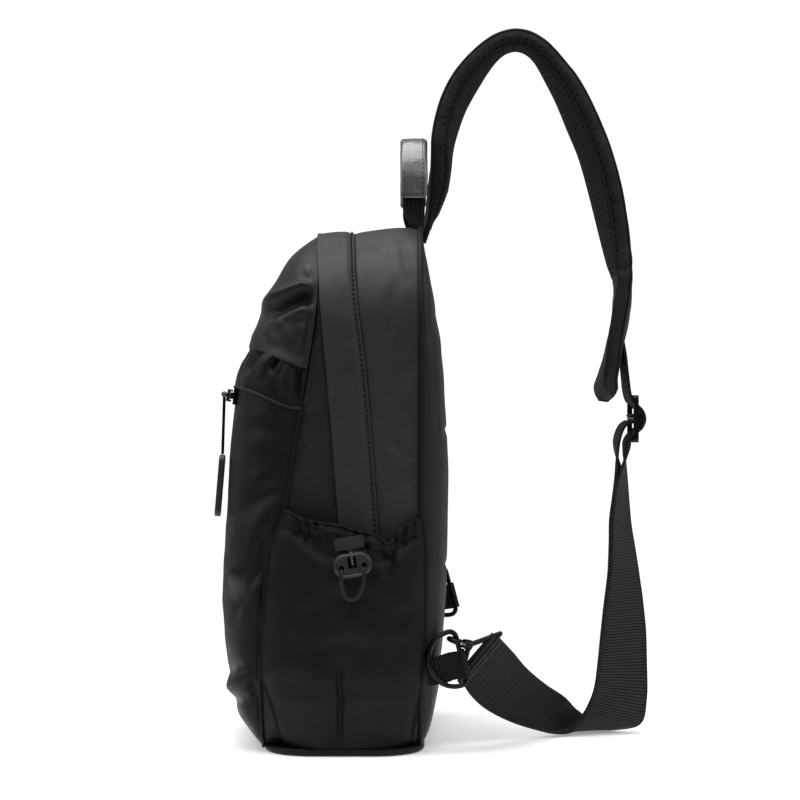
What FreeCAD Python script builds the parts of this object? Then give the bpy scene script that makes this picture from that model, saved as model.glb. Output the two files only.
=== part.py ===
import FreeCAD, Part
import Sketcher
import math
import os
from FreeCAD import Placement, Rotation, Vector

# Sling bag. Millimetres, +Z up, the wearer's back towards +Y and the front pocket towards -Y.
# The origin is the centre of the flat underside that the bag stands on.

doc = FreeCAD.newDocument("sling_bag")
sheet = doc.addObject("Spreadsheet::Sheet", "Dimensions")

DIMENSIONS = [
    ("base_width", 150), ("base_depth", 91), ("base_thick", 2), ("board_thick", 2),
    ("body_width", 170), ("body_top", 307), ("shoulder_radius", 60), ("flare_height", 45),
    ("front_reach", 78.5), ("front_corner", 40), ("seam_back", 43), ("wall", 4),
    ("panel_thick", 2), ("flap_thick", 1.2), ("tape_thick", 0.8),
    ("back_reach", 60), ("back_inset", 7), ("back_edge_radius", 14), ("piping", 1.5),
    ("flap_width", 136), ("flap_corner", 14), ("band_width", 144),
    ("front_zip_length", 96), ("front_zip_height", 208.5), ("chain_width", 4.4), ("chain_thick", 1.2),
    ("slider_length", 9), ("slider_width", 7.4), ("slider_thick", 2.6), ("flat_slider", 1.75),
    ("tag_length", 37), ("tag_width", 12), ("tag_thick", 3), ("tag_corner", 4),
    ("pocket_bulge", 12), ("pocket_wall", 2), ("pocket_top", 138),
    ("lock_width", 22), ("lock_height", 14.5), ("lock_depth", 8), ("lock_corner", 7),
    ("button_width", 17), ("button_height", 7), ("button_depth", 5), ("cord_diameter", 2.4),
    ("cord_hole", 3.2), ("spring_wire", 0.6), ("spring_radius", 1.6),
    ("webbing_width", 32), ("webbing_thick", 1.3), ("tab_width", 16),
    ("ring_wire", 1.5), ("ring_straight", 24), ("ring_bend", 4), ("ring_bow", 16),
    ("handle_foot", 38), ("handle_top", 361), ("handle_bend", 26), ("handle_webbing", 13),
    ("grip_width", 16.4), ("grip_thick", 5),
    ("pad_width", 62), ("pad_thick", 11), ("cover_thick", 1.2), ("mesh_thick", 2.2),
    ("glide_width", 39), ("glide_height", 29), ("glide_thick", 3), ("glide_slot_width", 33.4),
    ("glide_slot_height", 9.2), ("glide_corner", 2.5), ("glide_bar", 1.7),
    ("hook_wire", 1.5), ("claw_radius", 5),
]
for row, (alias, value) in enumerate(DIMENSIONS, start=1):
    sheet.set("A%d" % row, alias)
    sheet.set("B%d" % row, str(value))
    sheet.setAlias("B%d" % row, alias)
doc.recompute()


def dim(alias):
    """The number in the sheet's cell of that alias."""
    return float(getattr(sheet, alias))


def bind(feature, field, expression):
    """Binds a feature's field to the sheet: words in the expression that are aliases become cells."""
    words = sorted((alias for alias, _ in DIMENSIONS if alias in expression), key=len, reverse=True)
    text = expression
    for index, word in enumerate(words):
        text = text.replace(word, "{%d}" % index)
    for index, word in enumerate(words):
        text = text.replace("{%d}" % index, "Dimensions." + word)
    feature.setExpression(field, text)


SUBPARTS = []


def keep(feature, label):
    """Names a finished sub-part, so that it is written to its own file."""
    feature.Label = label
    SUBPARTS.append(feature)
    return feature


def shaped(label, shape):
    """A sub-part whose form is set directly, for soft and swept forms."""
    feature = doc.addObject("Part::Feature", label)
    feature.Shape = shape
    return keep(feature, label)


# ---------------------------------------------------------------- small builders

def plate(label, width, height, thickness, corner, place, slots=(), holes=()):
    """A flat plate centred on its own XY plane, padded from a constrained rectangle.
    slots are (width, height, offset) windows and holes are (radius, x, y), all as expressions."""
    body = doc.addObject("PartDesign::Body", label)
    plane = [item for item in body.Origin.OriginFeatures if item.Role == "XY_Plane"][0]

    def rectangle(name, wide, high, shift):
        sketch = body.newObject("Sketcher::SketchObject", label + name)
        sketch.AttachmentSupport = (plane, "")
        sketch.MapMode = "FlatFace"
        corners = [Vector(-5, -5, 0), Vector(5, -5, 0), Vector(5, 5, 0), Vector(-5, 5, 0)]
        for index in range(4):
            sketch.addGeometry(Part.LineSegment(corners[index], corners[(index + 1) % 4]))
        for index in range(4):
            following = (index + 1) % 4
            sketch.addConstraint(Sketcher.Constraint("Coincident", index, 2, following, 1))
        for index in range(4):
            direction = "Vertical" if index % 2 else "Horizontal"
            sketch.addConstraint(Sketcher.Constraint(direction, index))
        wide_row = sketch.addConstraint(Sketcher.Constraint("DistanceX", 0, 1, 0, 2, 10))
        high_row = sketch.addConstraint(Sketcher.Constraint("DistanceY", 1, 1, 1, 2, 10))
        left_row = sketch.addConstraint(Sketcher.Constraint("DistanceX", 0, 1, -1, 1, 5))
        low_row = sketch.addConstraint(Sketcher.Constraint("DistanceY", 0, 1, -1, 1, 5))
        bind(sketch, "Constraints[%d]" % wide_row, wide)
        bind(sketch, "Constraints[%d]" % high_row, high)
        bind(sketch, "Constraints[%d]" % left_row, "(%s) / 2" % wide)
        bind(sketch, "Constraints[%d]" % low_row, "(%s) / 2 - (%s)" % (high, shift))
        return sketch

    pad = body.newObject("PartDesign::Pad", label + "_pad")
    pad.Profile = rectangle("_outline", width, height, "0")
    pad.Midplane = True
    bind(pad, "Length", thickness)
    doc.recompute()
    if corner:
        upright = []
        for index, edge in enumerate(pad.Shape.Edges, start=1):
            if abs(edge.tangentAt(edge.FirstParameter).z) > 0.99:
                upright.append("Edge%d" % index)
        fillet = body.newObject("PartDesign::Fillet", label + "_corners")
        fillet.Base = (pad, upright)
        bind(fillet, "Radius", corner)
        doc.recompute()
    for number, (wide, high, shift) in enumerate(slots):
        pocket = body.newObject("PartDesign::Pocket", "%s_slot%d" % (label, number))
        pocket.Profile = rectangle("_window%d" % number, wide, high, shift)
        pocket.Midplane = True
        bind(pocket, "Length", "3 * (%s)" % thickness)
    for number, (radius, x, y) in enumerate(holes):
        sketch = body.newObject("Sketcher::SketchObject", "%s_hole%d" % (label, number))
        sketch.AttachmentSupport = (plane, "")
        sketch.MapMode = "FlatFace"
        sketch.addGeometry(Part.Circle(Vector(x, y, 0), Vector(0, 0, 1), 1))
        radius_row = sketch.addConstraint(Sketcher.Constraint("Radius", 0, 1))
        sketch.addConstraint(Sketcher.Constraint("DistanceX", -1, 1, 0, 3, x))
        sketch.addConstraint(Sketcher.Constraint("DistanceY", -1, 1, 0, 3, y))
        bind(sketch, "Constraints[%d]" % radius_row, radius)
        pocket = body.newObject("PartDesign::Pocket", "%s_bore%d" % (label, number))
        pocket.Profile = sketch
        pocket.Midplane = True
        bind(pocket, "Length", "3 * (%s)" % thickness)
    doc.recompute()
    body.Placement = place
    return keep(body, label)


def frame_place(origin, x_axis, z_axis):
    """A placement whose own X and Z axes point along the two given directions."""
    along = Vector(*x_axis).normalize()
    normal = Vector(*z_axis).normalize()
    side = normal.cross(along).normalize()
    along = side.cross(normal)
    matrix = FreeCAD.Matrix(along.x, side.x, normal.x, origin[0],
                            along.y, side.y, normal.y, origin[1],
                            along.z, side.z, normal.z, origin[2], 0, 0, 0, 1)
    return Placement(matrix)


def rod(start, end, radius):
    """A round bar between two points."""
    start, end = Vector(*start), Vector(*end)
    return Part.makeCylinder(radius, (end - start).Length, start, end - start)


def ball(centre, radius):
    return Part.makeSphere(radius, Vector(*centre))


def largest(shape):
    """The biggest solid of a cut shape, without the slivers beside it."""
    return max(shape.Solids, key=lambda solid: solid.Volume)


def polygon_wire(points):
    """A closed wire with straight sides through points."""
    return Part.makePolygon([Vector(*point) for point in points] + [Vector(*points[0])])


def side_prism(outline, half_width):
    """A closed outline in Y and Z, drawn out along X to both sides."""
    wire = polygon_wire([(-half_width, y, z) for y, z in outline])
    return Part.Face(wire).extrude(Vector(2 * half_width, 0, 0))


def spline_through(points):
    curve = Part.BSplineCurve()
    curve.interpolate([Vector(*point) for point in points])
    return curve


def offset_curve(points, distance, samples=28):
    """The curve through (y, z) points, moved sideways by a distance, to its right-hand side."""
    curve = spline_through([(0, y, z) for y, z in points])
    moved = []
    for index in range(samples + 1):
        at = curve.FirstParameter + (curve.LastParameter - curve.FirstParameter) * index / samples
        tangent = curve.tangent(at)[0]
        moved.append(curve.value(at) + Vector(0, tangent.z, -tangent.y) * distance)
    return spline_through([(0, point.y, point.z) for point in moved])


def strip(points, near, far, half_width):
    """A strap-like strip that follows (y, z) points, from one offset to another, across X."""
    first = offset_curve(points, near)
    second = offset_curve(points, far)
    starts = Part.LineSegment(first.value(first.FirstParameter), second.value(second.FirstParameter))
    ends = Part.LineSegment(second.value(second.LastParameter), first.value(first.LastParameter))
    edges = [item.toShape() for item in (first, starts, second, ends)]
    face = Part.Face(Part.Wire(Part.__sortEdges__(edges)))
    face.translate(Vector(-half_width, 0, 0))
    return face.extrude(Vector(2 * half_width, 0, 0))


# ---------------------------------------------------------------- the bag's three outlines
# The bag's form is what three outlines have in common: from the front, from above, from the side.


def front_outline(inset):
    """Upright outline seen from the front: a flared foot, straight sides and a round top."""
    half = dim("body_width") / 2 - inset
    foot = dim("base_width") / 2 - inset
    top = dim("body_top") - inset
    radius = dim("shoulder_radius") - inset
    middle = half - radius
    bend = radius * math.sqrt(0.5)
    flare = dim("flare_height")
    low = [Vector(-half, 0, flare), Vector(-foot, 0, 0), Vector(foot, 0, 0), Vector(half, 0, flare)]
    right = Vector(half, 0, top - radius)
    right_top = Vector(middle, 0, top)
    left_top = Vector(-middle, 0, top)
    left = Vector(-half, 0, top - radius)
    edges = [Part.LineSegment(low[index], low[index + 1]) for index in range(3)]
    edges.append(Part.LineSegment(low[3], right))
    edges.append(Part.Arc(right, Vector(middle + bend, 0, top - radius + bend), right_top))
    edges.append(Part.LineSegment(right_top, left_top))
    edges.append(Part.Arc(left_top, Vector(-middle - bend, 0, top - radius + bend), left))
    edges.append(Part.LineSegment(left, low[0]))
    return Part.Wire([edge.toShape() for edge in edges])


def front_prism(inset, start, end):
    """The front outline, drawn out in Y from start to end."""
    face = Part.Face(front_outline(inset))
    face.translate(Vector(0, start, 0))
    return face.extrude(Vector(0, end - start, 0))


def plan_prism(inset, height):
    """The outline from above, with round front corners, drawn out upwards."""
    half = dim("body_width") / 2 - inset
    front = -dim("front_reach") + inset
    radius = dim("front_corner") - inset
    box = Part.makeBox(2 * half, dim("back_reach") - front, height, Vector(-half, front, 0))
    corners = [edge for edge in box.Edges
               if abs(edge.Vertexes[0].Y - front) < 0.01 and abs(edge.Vertexes[1].Y - front) < 0.01
               and abs(edge.Vertexes[0].X - edge.Vertexes[1].X) < 0.01]
    return box.makeFillet(radius, corners)


FULL = dim("body_top") + 20
WIDE = dim("body_width")
SEAM = dim("seam_back")
FLOOR = dim("base_thick")

# Seam lines on the bag's side as (y, z), from the foot upwards.
FRONT_SEAM = [(-49, FLOOR), (-50, 54), (-48, 87), (-44.5, 119), (-36, 141), (-30, 177), (-22.5, 224),
              (-17, 265), (-18, 301)]
FLAP_EDGE = [(-1, FLOOR), (-2, 90), (-6, 157), (-11, 220), (-14, 255), (-18, 301)]
FLAP_SEAM = [(21, FLOOR), (20.5, 90), (14.7, 185), (10, 237), (6.6, 263), (3.7, 303.3)]
FRONT_FACE = [(-59, FLOOR), (-68, 14), (-75.6, 27), (-78.4, 73), (-77.5, 107), (-75, 156), (-71, 204),
              (-69, 214)]

outer = front_prism(0, -90, SEAM).common(plan_prism(0, FULL))
under_flap = front_prism(dim("flap_thick"), -90, SEAM).common(plan_prism(dim("flap_thick"), FULL))
over_tape = front_prism(dim("wall") - dim("tape_thick"), -90, SEAM)
over_tape = over_tape.common(plan_prism(dim("wall") - dim("tape_thick"), FULL))
inner = front_prism(dim("wall"), -90, SEAM).common(plan_prism(dim("wall"), FULL))

top_line = [(-18, 301), (SEAM, dim("body_top"))]
sloped_top = side_prism([(-90, FLOOR), (SEAM, FLOOR)] + top_line[::-1] + [(-90, 301)], WIDE)
inner_top = side_prism([(-90, FLOOR), (SEAM, FLOOR), (SEAM, dim("body_top") - dim("wall")),
                        (-18, 301 - dim("wall")), (-90, 301 - dim("wall"))], WIDE)


def between(first, second):
    """The part of the bag's width between two seam lines."""
    return side_prism(first + second[::-1], WIDE)


wall_shell = outer.common(sloped_top).cut(inner.common(inner_top))
back_line = [(SEAM, FLOOR), (SEAM, dim("body_top") + 1)]

# ---------------------------------------------------------------- base
plate("base_panel", "base_width", "base_depth", "base_thick", "9",
      Placement(Vector(0, 0, FLOOR / 2), Rotation()))
plate("base_board", "base_width - 2 * wall - 4", "base_depth - 2 * wall - 2", "board_thick", "7",
      Placement(Vector(0, -1.5, FLOOR + dim("board_thick") / 2), Rotation()))


def base_band():
    """The welt round the base: a band just outside the base panel, standing on the floor with it."""
    half = dim("base_width") / 2
    deep = dim("base_depth") / 2
    edge = dim("piping")
    outside = Part.makeBox(2 * (half + edge), 2 * (deep + edge), 4, Vector(-half - edge, -deep - edge, 0))
    inside = Part.makeBox(2 * half, 2 * deep, 6, Vector(-half, -deep, -1))

    def rounded(box, radius):
        return box.makeFillet(radius, [item for item in box.Edges if abs(item.tangentAt(0).z) > 0.99])

    return rounded(outside, 9 + edge).cut(rounded(inside, 9))


shaped("base_piping", base_band())

# ---------------------------------------------------------------- gussets, flap and main zipper
above_base = Part.makeBox(180, 96, 4.2, Vector(-90, -48, 0))
wall_shell = wall_shell.cut(above_base)
shaped("rear_gusset", wall_shell.common(between(FLAP_SEAM, back_line)))
shaped("front_gusset", wall_shell.common(between(FRONT_SEAM, FLAP_EDGE)))
zip_zone = between(FLAP_EDGE, FLAP_SEAM).cut(above_base)
flap_shell = outer.common(sloped_top).cut(under_flap.common(inner_top.copy().translated(Vector(0, 0, 2.8))))
zipper_tape = over_tape.common(inner_top.translated(Vector(0, 0, 0.8))).cut(inner.common(inner_top))
zipper_tape = zipper_tape.common(zip_zone)
shaped("storm_flap", largest(flap_shell.common(zip_zone).cut(zipper_tape)))
shaped("main_zipper_tape", zipper_tape)


def zipper_line(part):
    """A point on the main zipper's centre line, a part of the way from foot to top."""
    low = Vector(0, 8.7, 100)
    high = Vector(0, 0.2, 232)
    return low + (high - low) * part


TAPE_FACE = dim("body_width") / 2 - dim("wall") + dim("tape_thick")
chain_low = zipper_line(0)
chain_high = zipper_line(1)
chain_run = chain_high - chain_low


def main_chain():
    """Both sides' toothed chains, straight up each flank and round the top as one bent strip."""
    half = dim("chain_width") / 2
    line = [(9.4, 60), (8.7, 100), (0.2, 232), (-3, 262), (-6.5, 304)]
    zone = between([(y - half, z) for y, z in line], [(y + half, z) for y, z in line])
    rise = dim("tape_thick") + dim("chain_thick")
    above = front_prism(dim("wall") - rise, -90, SEAM).common(inner_top.translated(Vector(0, 0, rise)))
    below = front_prism(dim("wall") - dim("tape_thick"), -90, SEAM)
    return above.cut(below.common(inner_top.translated(Vector(0, 0, dim("tape_thick"))))).common(zone)


shaped("main_zipper_chain", main_chain())

SLIDE_RUN = chain_run.normalize()
slider_spot = chain_low + SLIDE_RUN * 50
main_face = -(TAPE_FACE + 0.12)


def zipper_slider(centre, along, out, tall):
    """A zipper slider: a flat top plate over the chain with two side flanges."""
    place = frame_place(centre, along, out)
    long = dim("slider_length")
    wide = dim("slider_width")
    channel = dim("chain_width") + 0.5
    block = Part.makeBox(long, wide, tall, Vector(-long / 2, -wide / 2, 0))
    block = block.makeFillet(1.4, [item for item in block.Edges if abs(item.tangentAt(0).z) > 0.99])
    groove = Part.makeBox(2 * long, channel, dim("chain_thick") + 0.35, Vector(-long, -channel / 2, -0.2))
    body = block.cut(groove)
    body.Placement = place
    return body


shaped("main_zipper_slider", zipper_slider((main_face, slider_spot.y, slider_spot.z),
                                           SLIDE_RUN, (-1, 0, 0), dim("flat_slider")))
pull_centre = slider_spot - SLIDE_RUN * 15
plate("main_zipper_pull", "18", "5", "0.5", "2",
      frame_place((main_face - 1.5, pull_centre.y, pull_centre.z), SLIDE_RUN, (-1, 0, 0)))

# ---------------------------------------------------------------- front divider, inner pocket
divider = between(FRONT_SEAM, [(y + dim("panel_thick"), z) for y, z in FRONT_SEAM[:-1]] + [(-16, 297)])
shaped("front_divider", inner.common(divider).common(inner_top))
shaped("inner_pocket", Part.makeBox(110, 1.2, 105, Vector(-55, -12, 45)))

# ---------------------------------------------------------------- back panel
BACK_FACE = [(SEAM + 1.6, 4.5), (49.6, 13), (54.7, 38), (57.5, 76), (59.2, 107), (59.7, 162), (58, 204),
             (56.6, 227), (52.5, 259), (48, 283), (SEAM + 1.6, 299)]


def back_block(inset):
    """The padded back: the bag's outline a little smaller, domed by its side curve."""
    block = front_prism(dim("back_inset") + inset, SEAM + 0.2 + inset, dim("back_reach"))
    dome = [(y - inset, z) for y, z in BACK_FACE]
    curve = spline_through([(0, y, z) for y, z in dome])
    close = Part.makePolygon([Vector(0, dome[-1][0], dome[-1][1]), Vector(0, 20, dome[-1][1]),
                              Vector(0, 20, dome[0][1]), Vector(0, dome[0][0], dome[0][1])])
    face = Part.Face(Part.Wire([curve.toShape()] + close.Edges))
    face.translate(Vector(-WIDE, 0, 0))
    side = face.extrude(Vector(2 * WIDE, 0, 0))
    half = dim("body_width") / 2 - dim("back_inset") - inset
    plan = Part.makeBox(2 * half, 60, FULL, Vector(-half, dim("back_reach") - 60, 0))
    edges = [item for item in plan.Edges if abs(item.tangentAt(0).z) > 0.99
             and item.Vertexes[0].Y > SEAM]
    plan = plan.makeFillet(dim("back_edge_radius"), edges)
    return block.common(side).common(plan)


foam = back_block(1.5)
shaped("back_panel_cover", back_block(0).cut(foam))
shaped("back_panel_foam", foam)
shaped("back_panel_lining", inner.common(Part.makeBox(200, 0.8, 280, Vector(-100, SEAM - 1, 6))))


def seam_cord():
    """The piping in the back seam, as a thin band that follows the bag's outline."""
    edge = dim("piping")
    ring = front_prism(-edge * 0.6, SEAM - edge, SEAM + edge).cut(front_prism(edge * 0.4, SEAM - 5, SEAM + 5))
    return ring.common(Part.makeBox(300, 100, 400, Vector(-150, 0, 4.5)))


back_cord = seam_cord()
rear = SUBPARTS[[item.Label for item in SUBPARTS].index("rear_gusset")]
rear.Shape = rear.Shape.cut(back_cord)
shaped("back_piping", back_cord)

# ---------------------------------------------------------------- front: flap, gathered band, pocket
FLAP_SIDE = [(-18.3, 300.5), (-37, 290), (-45, 277), (-51, 268), (-57.5, 247), (-57, 238), (-49, 236.5),
             (-36, 229.5), (-22.5, 224.5), (-17.3, 265)]
BAND_SIDE = [(-22.8, 223.8), (-36, 228.8), (-49, 235.8), (-57, 237.2), (-68.5, 215.5), (-45, 212.5),
             (-27.3, 200.5)]


def rounded_front(outline, width, corner):
    """A soft front piece: a side outline drawn across X, with its front corners rounded from above."""
    front = min(y for y, _ in outline)
    low = min(height for _, height in outline)
    high = max(height for _, height in outline)
    box = Part.makeBox(width, 80, high - low + 2, Vector(-width / 2, front, low - 1))
    edges = [item for item in box.Edges if abs(item.tangentAt(0).z) > 0.99
             and abs(item.Vertexes[0].Y - front) < 0.01]
    return side_prism(outline, WIDE).common(box.makeFillet(corner, edges))


shaped("top_flap", rounded_front(FLAP_SIDE, dim("flap_width"), dim("flap_corner")).common(outer))
shaped("gathered_band", rounded_front(BAND_SIDE, dim("band_width"), dim("front_corner") - 10).common(outer))

POCKET_BACK = [(y - 0.2, z) for y, z in FRONT_SEAM if z < 190] + [(-27.5, 200)]
front_block = outer.common(side_prism(FRONT_FACE + [(-45, 212)] + POCKET_BACK[::-1], WIDE))
thick = dim("panel_thick")
hollow_front = [(y + thick, z) for y, z in FRONT_FACE]
hollow_front[0] = (hollow_front[0][0], FLOOR + thick)
hollow_front[-1] = (hollow_front[-1][0], 214 - thick)
hollow_back = [(y, max(z, FLOOR + thick)) for y, z in POCKET_BACK[:-1]] + [(-30, 198)]
plan_hollow = plan_prism(thick, FULL).common(front_prism(thick, -90, SEAM))
front_hollow = plan_hollow.common(side_prism(hollow_front + [(-45, 212 - thick)] + hollow_back[::-1], WIDE))
front_shell = front_block.cut(front_hollow).cut(above_base)
zip_low = dim("front_zip_height") - 5
zip_high = dim("front_zip_height") + 5.5
zip_box = Part.makeBox(dim("front_zip_length"), 30, zip_high - zip_low,
                       Vector(-dim("front_zip_length") / 2, -90, zip_low))
shaped("front_panel", front_shell.cut(zip_box))
shaped("front_zipper_tape", front_shell.common(zip_box))

# The front's face leans back a little at the zipper, so the chain and its slider lean with it.
FACE_SLOPE = Vector(0, 2, 10).normalize()
FACE_OUT = Vector(0, -FACE_SLOPE.z, FACE_SLOPE.y)
chain_spot = Vector(0, -70.1, dim("front_zip_height"))
chain_mid = chain_spot + FACE_OUT * (dim("chain_thick") / 2 + 0.05)
plate("front_zipper_chain", "front_zip_length - 4", "chain_width", "chain_thick", None,
      frame_place(chain_mid, (1, 0, 0), FACE_OUT))
FRONT_SLIDER_X = 36
slider_base = chain_spot + FACE_OUT * 0.35 + Vector(FRONT_SLIDER_X, 0, 0)
PULL_PIVOT = slider_base + FACE_OUT * 4.5


def front_slider():
    """The front zipper's slider with the raised bar that its pull swings on."""
    slider = zipper_slider(slider_base, (1, 0, 0), FACE_OUT, dim("slider_thick"))
    for side in (-1, 1):
        post = PULL_PIVOT + Vector(2.3 * side, 0, 0)
        slider = slider.fuse(rod(post - FACE_OUT * 2.3, post, 0.8)).fuse(ball(post, 0.8))
    return slider.fuse(rod(PULL_PIVOT - Vector(2.3, 0, 0), PULL_PIVOT + Vector(2.3, 0, 0), 0.8))


shaped("front_zipper_slider", front_slider())

TAG_TOP = Vector(FRONT_SLIDER_X, -75.9, 172.5)
TAG_LOW = Vector(FRONT_SLIDER_X, -78.9, 136.6)
tag_centre = (TAG_TOP + TAG_LOW) * 0.5
tag_run = TAG_TOP - TAG_LOW
plate("front_pull_tag", "tag_length", "tag_width", "tag_thick", "tag_corner",
      frame_place(tag_centre, tag_run, (0, -tag_run.z, tag_run.y)))


def pull_link():
    """The slim link from the slider to the tag: an eye round the slider's bar and a stem below it."""
    eye = Part.makeCylinder(1.7, 2, PULL_PIVOT - Vector(1, 0, 0), Vector(1, 0, 0))
    stem = rod(PULL_PIVOT - Vector(0, 0, 1.6), TAG_TOP + Vector(0, 0, 0.8), 0.9)
    return eye.fuse(stem).cut(Part.makeCylinder(1.05, 4, PULL_PIVOT - Vector(2, 0, 0), Vector(1, 0, 0)))


shaped("front_pull_link", pull_link())

# ---------------------------------------------------------------- side pockets
POCKET_SIDE = [(-35.5, 4.4), (-48, 12), (-49, 54), (-46, 87), (-43, 119), (-35, 138), (-22, 135), (7, 129.5),
               (16.5, 128), (25, 124), (31, 130), (41.2, 136), (41.3, 86), (41.2, 37), (37, 4.4)]


def pocket(side):
    """A bulging open-topped side pocket. side is +1 for the right flank and -1 for the left."""
    gap = dim("pocket_bulge")
    half = dim("body_width") / 2 + 0.3
    foot = dim("base_width") / 2 + 1.9
    skin = dim("pocket_wall")
    section = [(foot, 4.4), (foot + 4, 4.4), (half + gap, dim("flare_height")), (half + gap + 2, 88),
               (half + gap - 4, 126), (half + gap - 4, 140), (half, 140), (half, dim("flare_height"))]
    cavity = [(foot - 3, 7), (foot + 3, 7), (half + gap - skin, dim("flare_height")), (half + gap, 88),
              (half + gap - 4 - skin, 126), (half + gap - 4 - skin, 150), (half - 5, 150), (half - 5, 30)]

    def drawn(points, y_low, y_high):
        wire = polygon_wire([(side * x, y_low, z) for x, z in points])
        return Part.Face(wire).extrude(Vector(0, y_high - y_low, 0))

    whole = drawn(section, -60, 60).common(side_prism(POCKET_SIDE, 120))
    inset = [(y + skin if y < 0 else y - skin, z) for y, z in POCKET_SIDE]
    tall = [(y, z + 12 if z > 120 else z) for y, z in inset]
    hollow = drawn(cavity, -60, 60).common(side_prism(tall, 120))
    clear = front_prism(-0.25, -90, 70).common(plan_prism(-0.25, FULL))
    return whole.cut(hollow).cut(clear)


shaped("side_pocket_right", pocket(1))
shaped("side_pocket_left", pocket(-1))

# ---------------------------------------------------------------- cord lock and its elastic cord
POCKET_FACE = dim("body_width") / 2 + 0.3 + dim("pocket_bulge")
LOCK_X = POCKET_FACE + dim("lock_depth") / 2 + 1.2
LOCK_TILT = Vector(0, math.cos(math.radians(9)), math.sin(math.radians(9)))
LOCK_UP = Vector(0, -LOCK_TILT.z, LOCK_TILT.y)
LOCK = Vector(LOCK_X, 4, 112)
plate("cord_lock_body", "lock_width", "lock_height", "lock_depth", "lock_corner",
      frame_place(LOCK, LOCK_TILT, (1, 0, 0)), slots=[("5", "20", "lock_height / 2 + 1")],
      holes=[("cord_hole / 2", -6.6, -1), ("cord_hole / 2", 6.6, -1)])
BUTTON_GAP = 1.9
button_spot = LOCK + LOCK_UP * ((dim("lock_height") + dim("button_height")) / 2 + BUTTON_GAP)
plate("cord_lock_button", "button_width", "button_height", "button_depth", "1.5",
      frame_place(button_spot, LOCK_TILT, (1, 0, 0)))


def coil_spring(start, along, length, turns, radius, wire):
    """A round-wire coil spring from its start point."""
    helix = Part.makeHelix(length / turns, length, radius)
    profile = Part.Wire([Part.makeCircle(wire, Vector(radius, 0, 0), Vector(0, 1, 0))])
    spring = Part.Wire(helix.Edges).makePipeShell([profile], True, True)
    side = Vector(1, 0, 0)
    spring.Placement = frame_place(start, side, along)
    return spring


shaped("cord_lock_spring", coil_spring(LOCK - LOCK_UP * 1.2, LOCK_UP, 10.0, 6,
                                       dim("spring_radius"), dim("spring_wire") / 2))


def tangent_tube(points, diameter):
    """A round tube along straight runs joined by tangent arcs, with the arcs' radii."""
    points = [Vector(*point) for point in points]
    edges, radii, at = [], [], points[0]
    for index in range(1, len(points) - 1):
        before, corner, after = points[index - 1], points[index], points[index + 1]
        into = (corner - before).normalize()
        out = (after - corner).normalize()
        turn = into.getAngle(out)
        short = min((corner - before).Length, (after - corner).Length)
        back = 0.45 * short
        radii.append(back / math.tan(turn / 2))
        first = corner - into * back
        last = corner + out * back
        middle = corner + (out - into).normalize() * (radii[-1] / math.cos(turn / 2) - radii[-1])
        edges.append(Part.LineSegment(at, first).toShape())
        edges.append(Part.Arc(first, middle, last).toShape())
        at = last
    edges.append(Part.LineSegment(at, points[-1]).toShape())
    path = Part.Wire(edges)
    start = (points[1] - points[0]).normalize()
    section = Part.Wire([Part.makeCircle(diameter / 2, points[0], start)])
    tube = path.makePipeShell([section], True, False)
    drawn = math.pi * diameter ** 2 / 4 * path.Length
    print("cord length %.1f, radii %s, volume share %.3f" % (
        path.Length, ["%.1f" % radius for radius in radii], tube.Volume / drawn))
    return tube


# The loop leaves the left hole, hangs, turns, and goes back into the right hole.
CORD_ROUTE = [(102.8, -2.4, 110.3), (106.4, -2.6, 108.9), (107.6, -2.4, 103.4), (106.6, -1.6, 97.5),
              (105.9, 0.6, 92.6), (105.9, 5.4, 92.0), (106.6, 8.7, 96.6), (107.6, 10.4, 103.0),
              (106.4, 10.8, 110.0), (102.8, 10.6, 112.4)]
shaped("elastic_cord", tangent_tube(CORD_ROUTE, dim("cord_diameter")))

# ---------------------------------------------------------------- rings in their webbing tabs
RING_X = 83.0
RING_SPOT = Vector(RING_X, 66.5, 57)
LEFT_SPOT = Vector(-RING_X, 64.5, 81)
RING_UP = Vector(0, -0.25, 0.968).normalize()
LEAN = math.radians(14)


def ring_and_tab(side):
    """A D ring hinged on its straight side in a folded tab of webbing that leaves the back seam."""
    spot = Vector(side * RING_SPOT.x, RING_SPOT.y, RING_SPOT.z)
    if side < 0:
        spot = LEFT_SPOT
    inward = Vector(side * math.sin(LEAN), -math.cos(LEAN) * RING_UP.z, math.cos(LEAN) * RING_UP.y)
    half = dim("ring_straight") / 2
    bend = dim("ring_bend")
    bow = dim("ring_bow")
    step = bend * (1 - math.sqrt(0.5))

    def at(across, up):
        return spot + inward * across + RING_UP * up

    high = Part.Arc(at(0, half), at(step, half + bend - step), at(bend, half + bend))
    curve = Part.Arc(at(bend, half + bend), at(bend + bow, 0), at(bend, -half - bend))
    low = Part.Arc(at(bend, -half - bend), at(step, -half - bend + step), at(0, -half))
    straight = Part.LineSegment(at(0, -half), at(0, half))
    path = Part.Wire([item.toShape() for item in (straight, high, curve, low)])
    section = Part.Wire([Part.makeCircle(dim("ring_wire"), spot - RING_UP * half, RING_UP)])
    ring = path.makePipeShell([section], True, True)

    width = dim("tab_width")
    start = spot - RING_UP * half
    sleeve = Part.makeCylinder(dim("ring_wire") + 1.8, width, start, RING_UP)
    back = Vector(0, -RING_UP.z, RING_UP.y)
    # The two layers lie together and run flat along the bag's flank into the back seam.
    flat = Part.makeBox(21.5, width, 2.6, Vector(0, 0, -1.3))
    flat.Placement = frame_place(start, back, (-1, 0, 0))
    ring_room = Part.makeCylinder(dim("ring_wire") + 0.25, width + 4, start - RING_UP * 2, RING_UP)
    tab = sleeve.fuse(flat).cut(ring_room)
    return ring, tab


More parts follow.
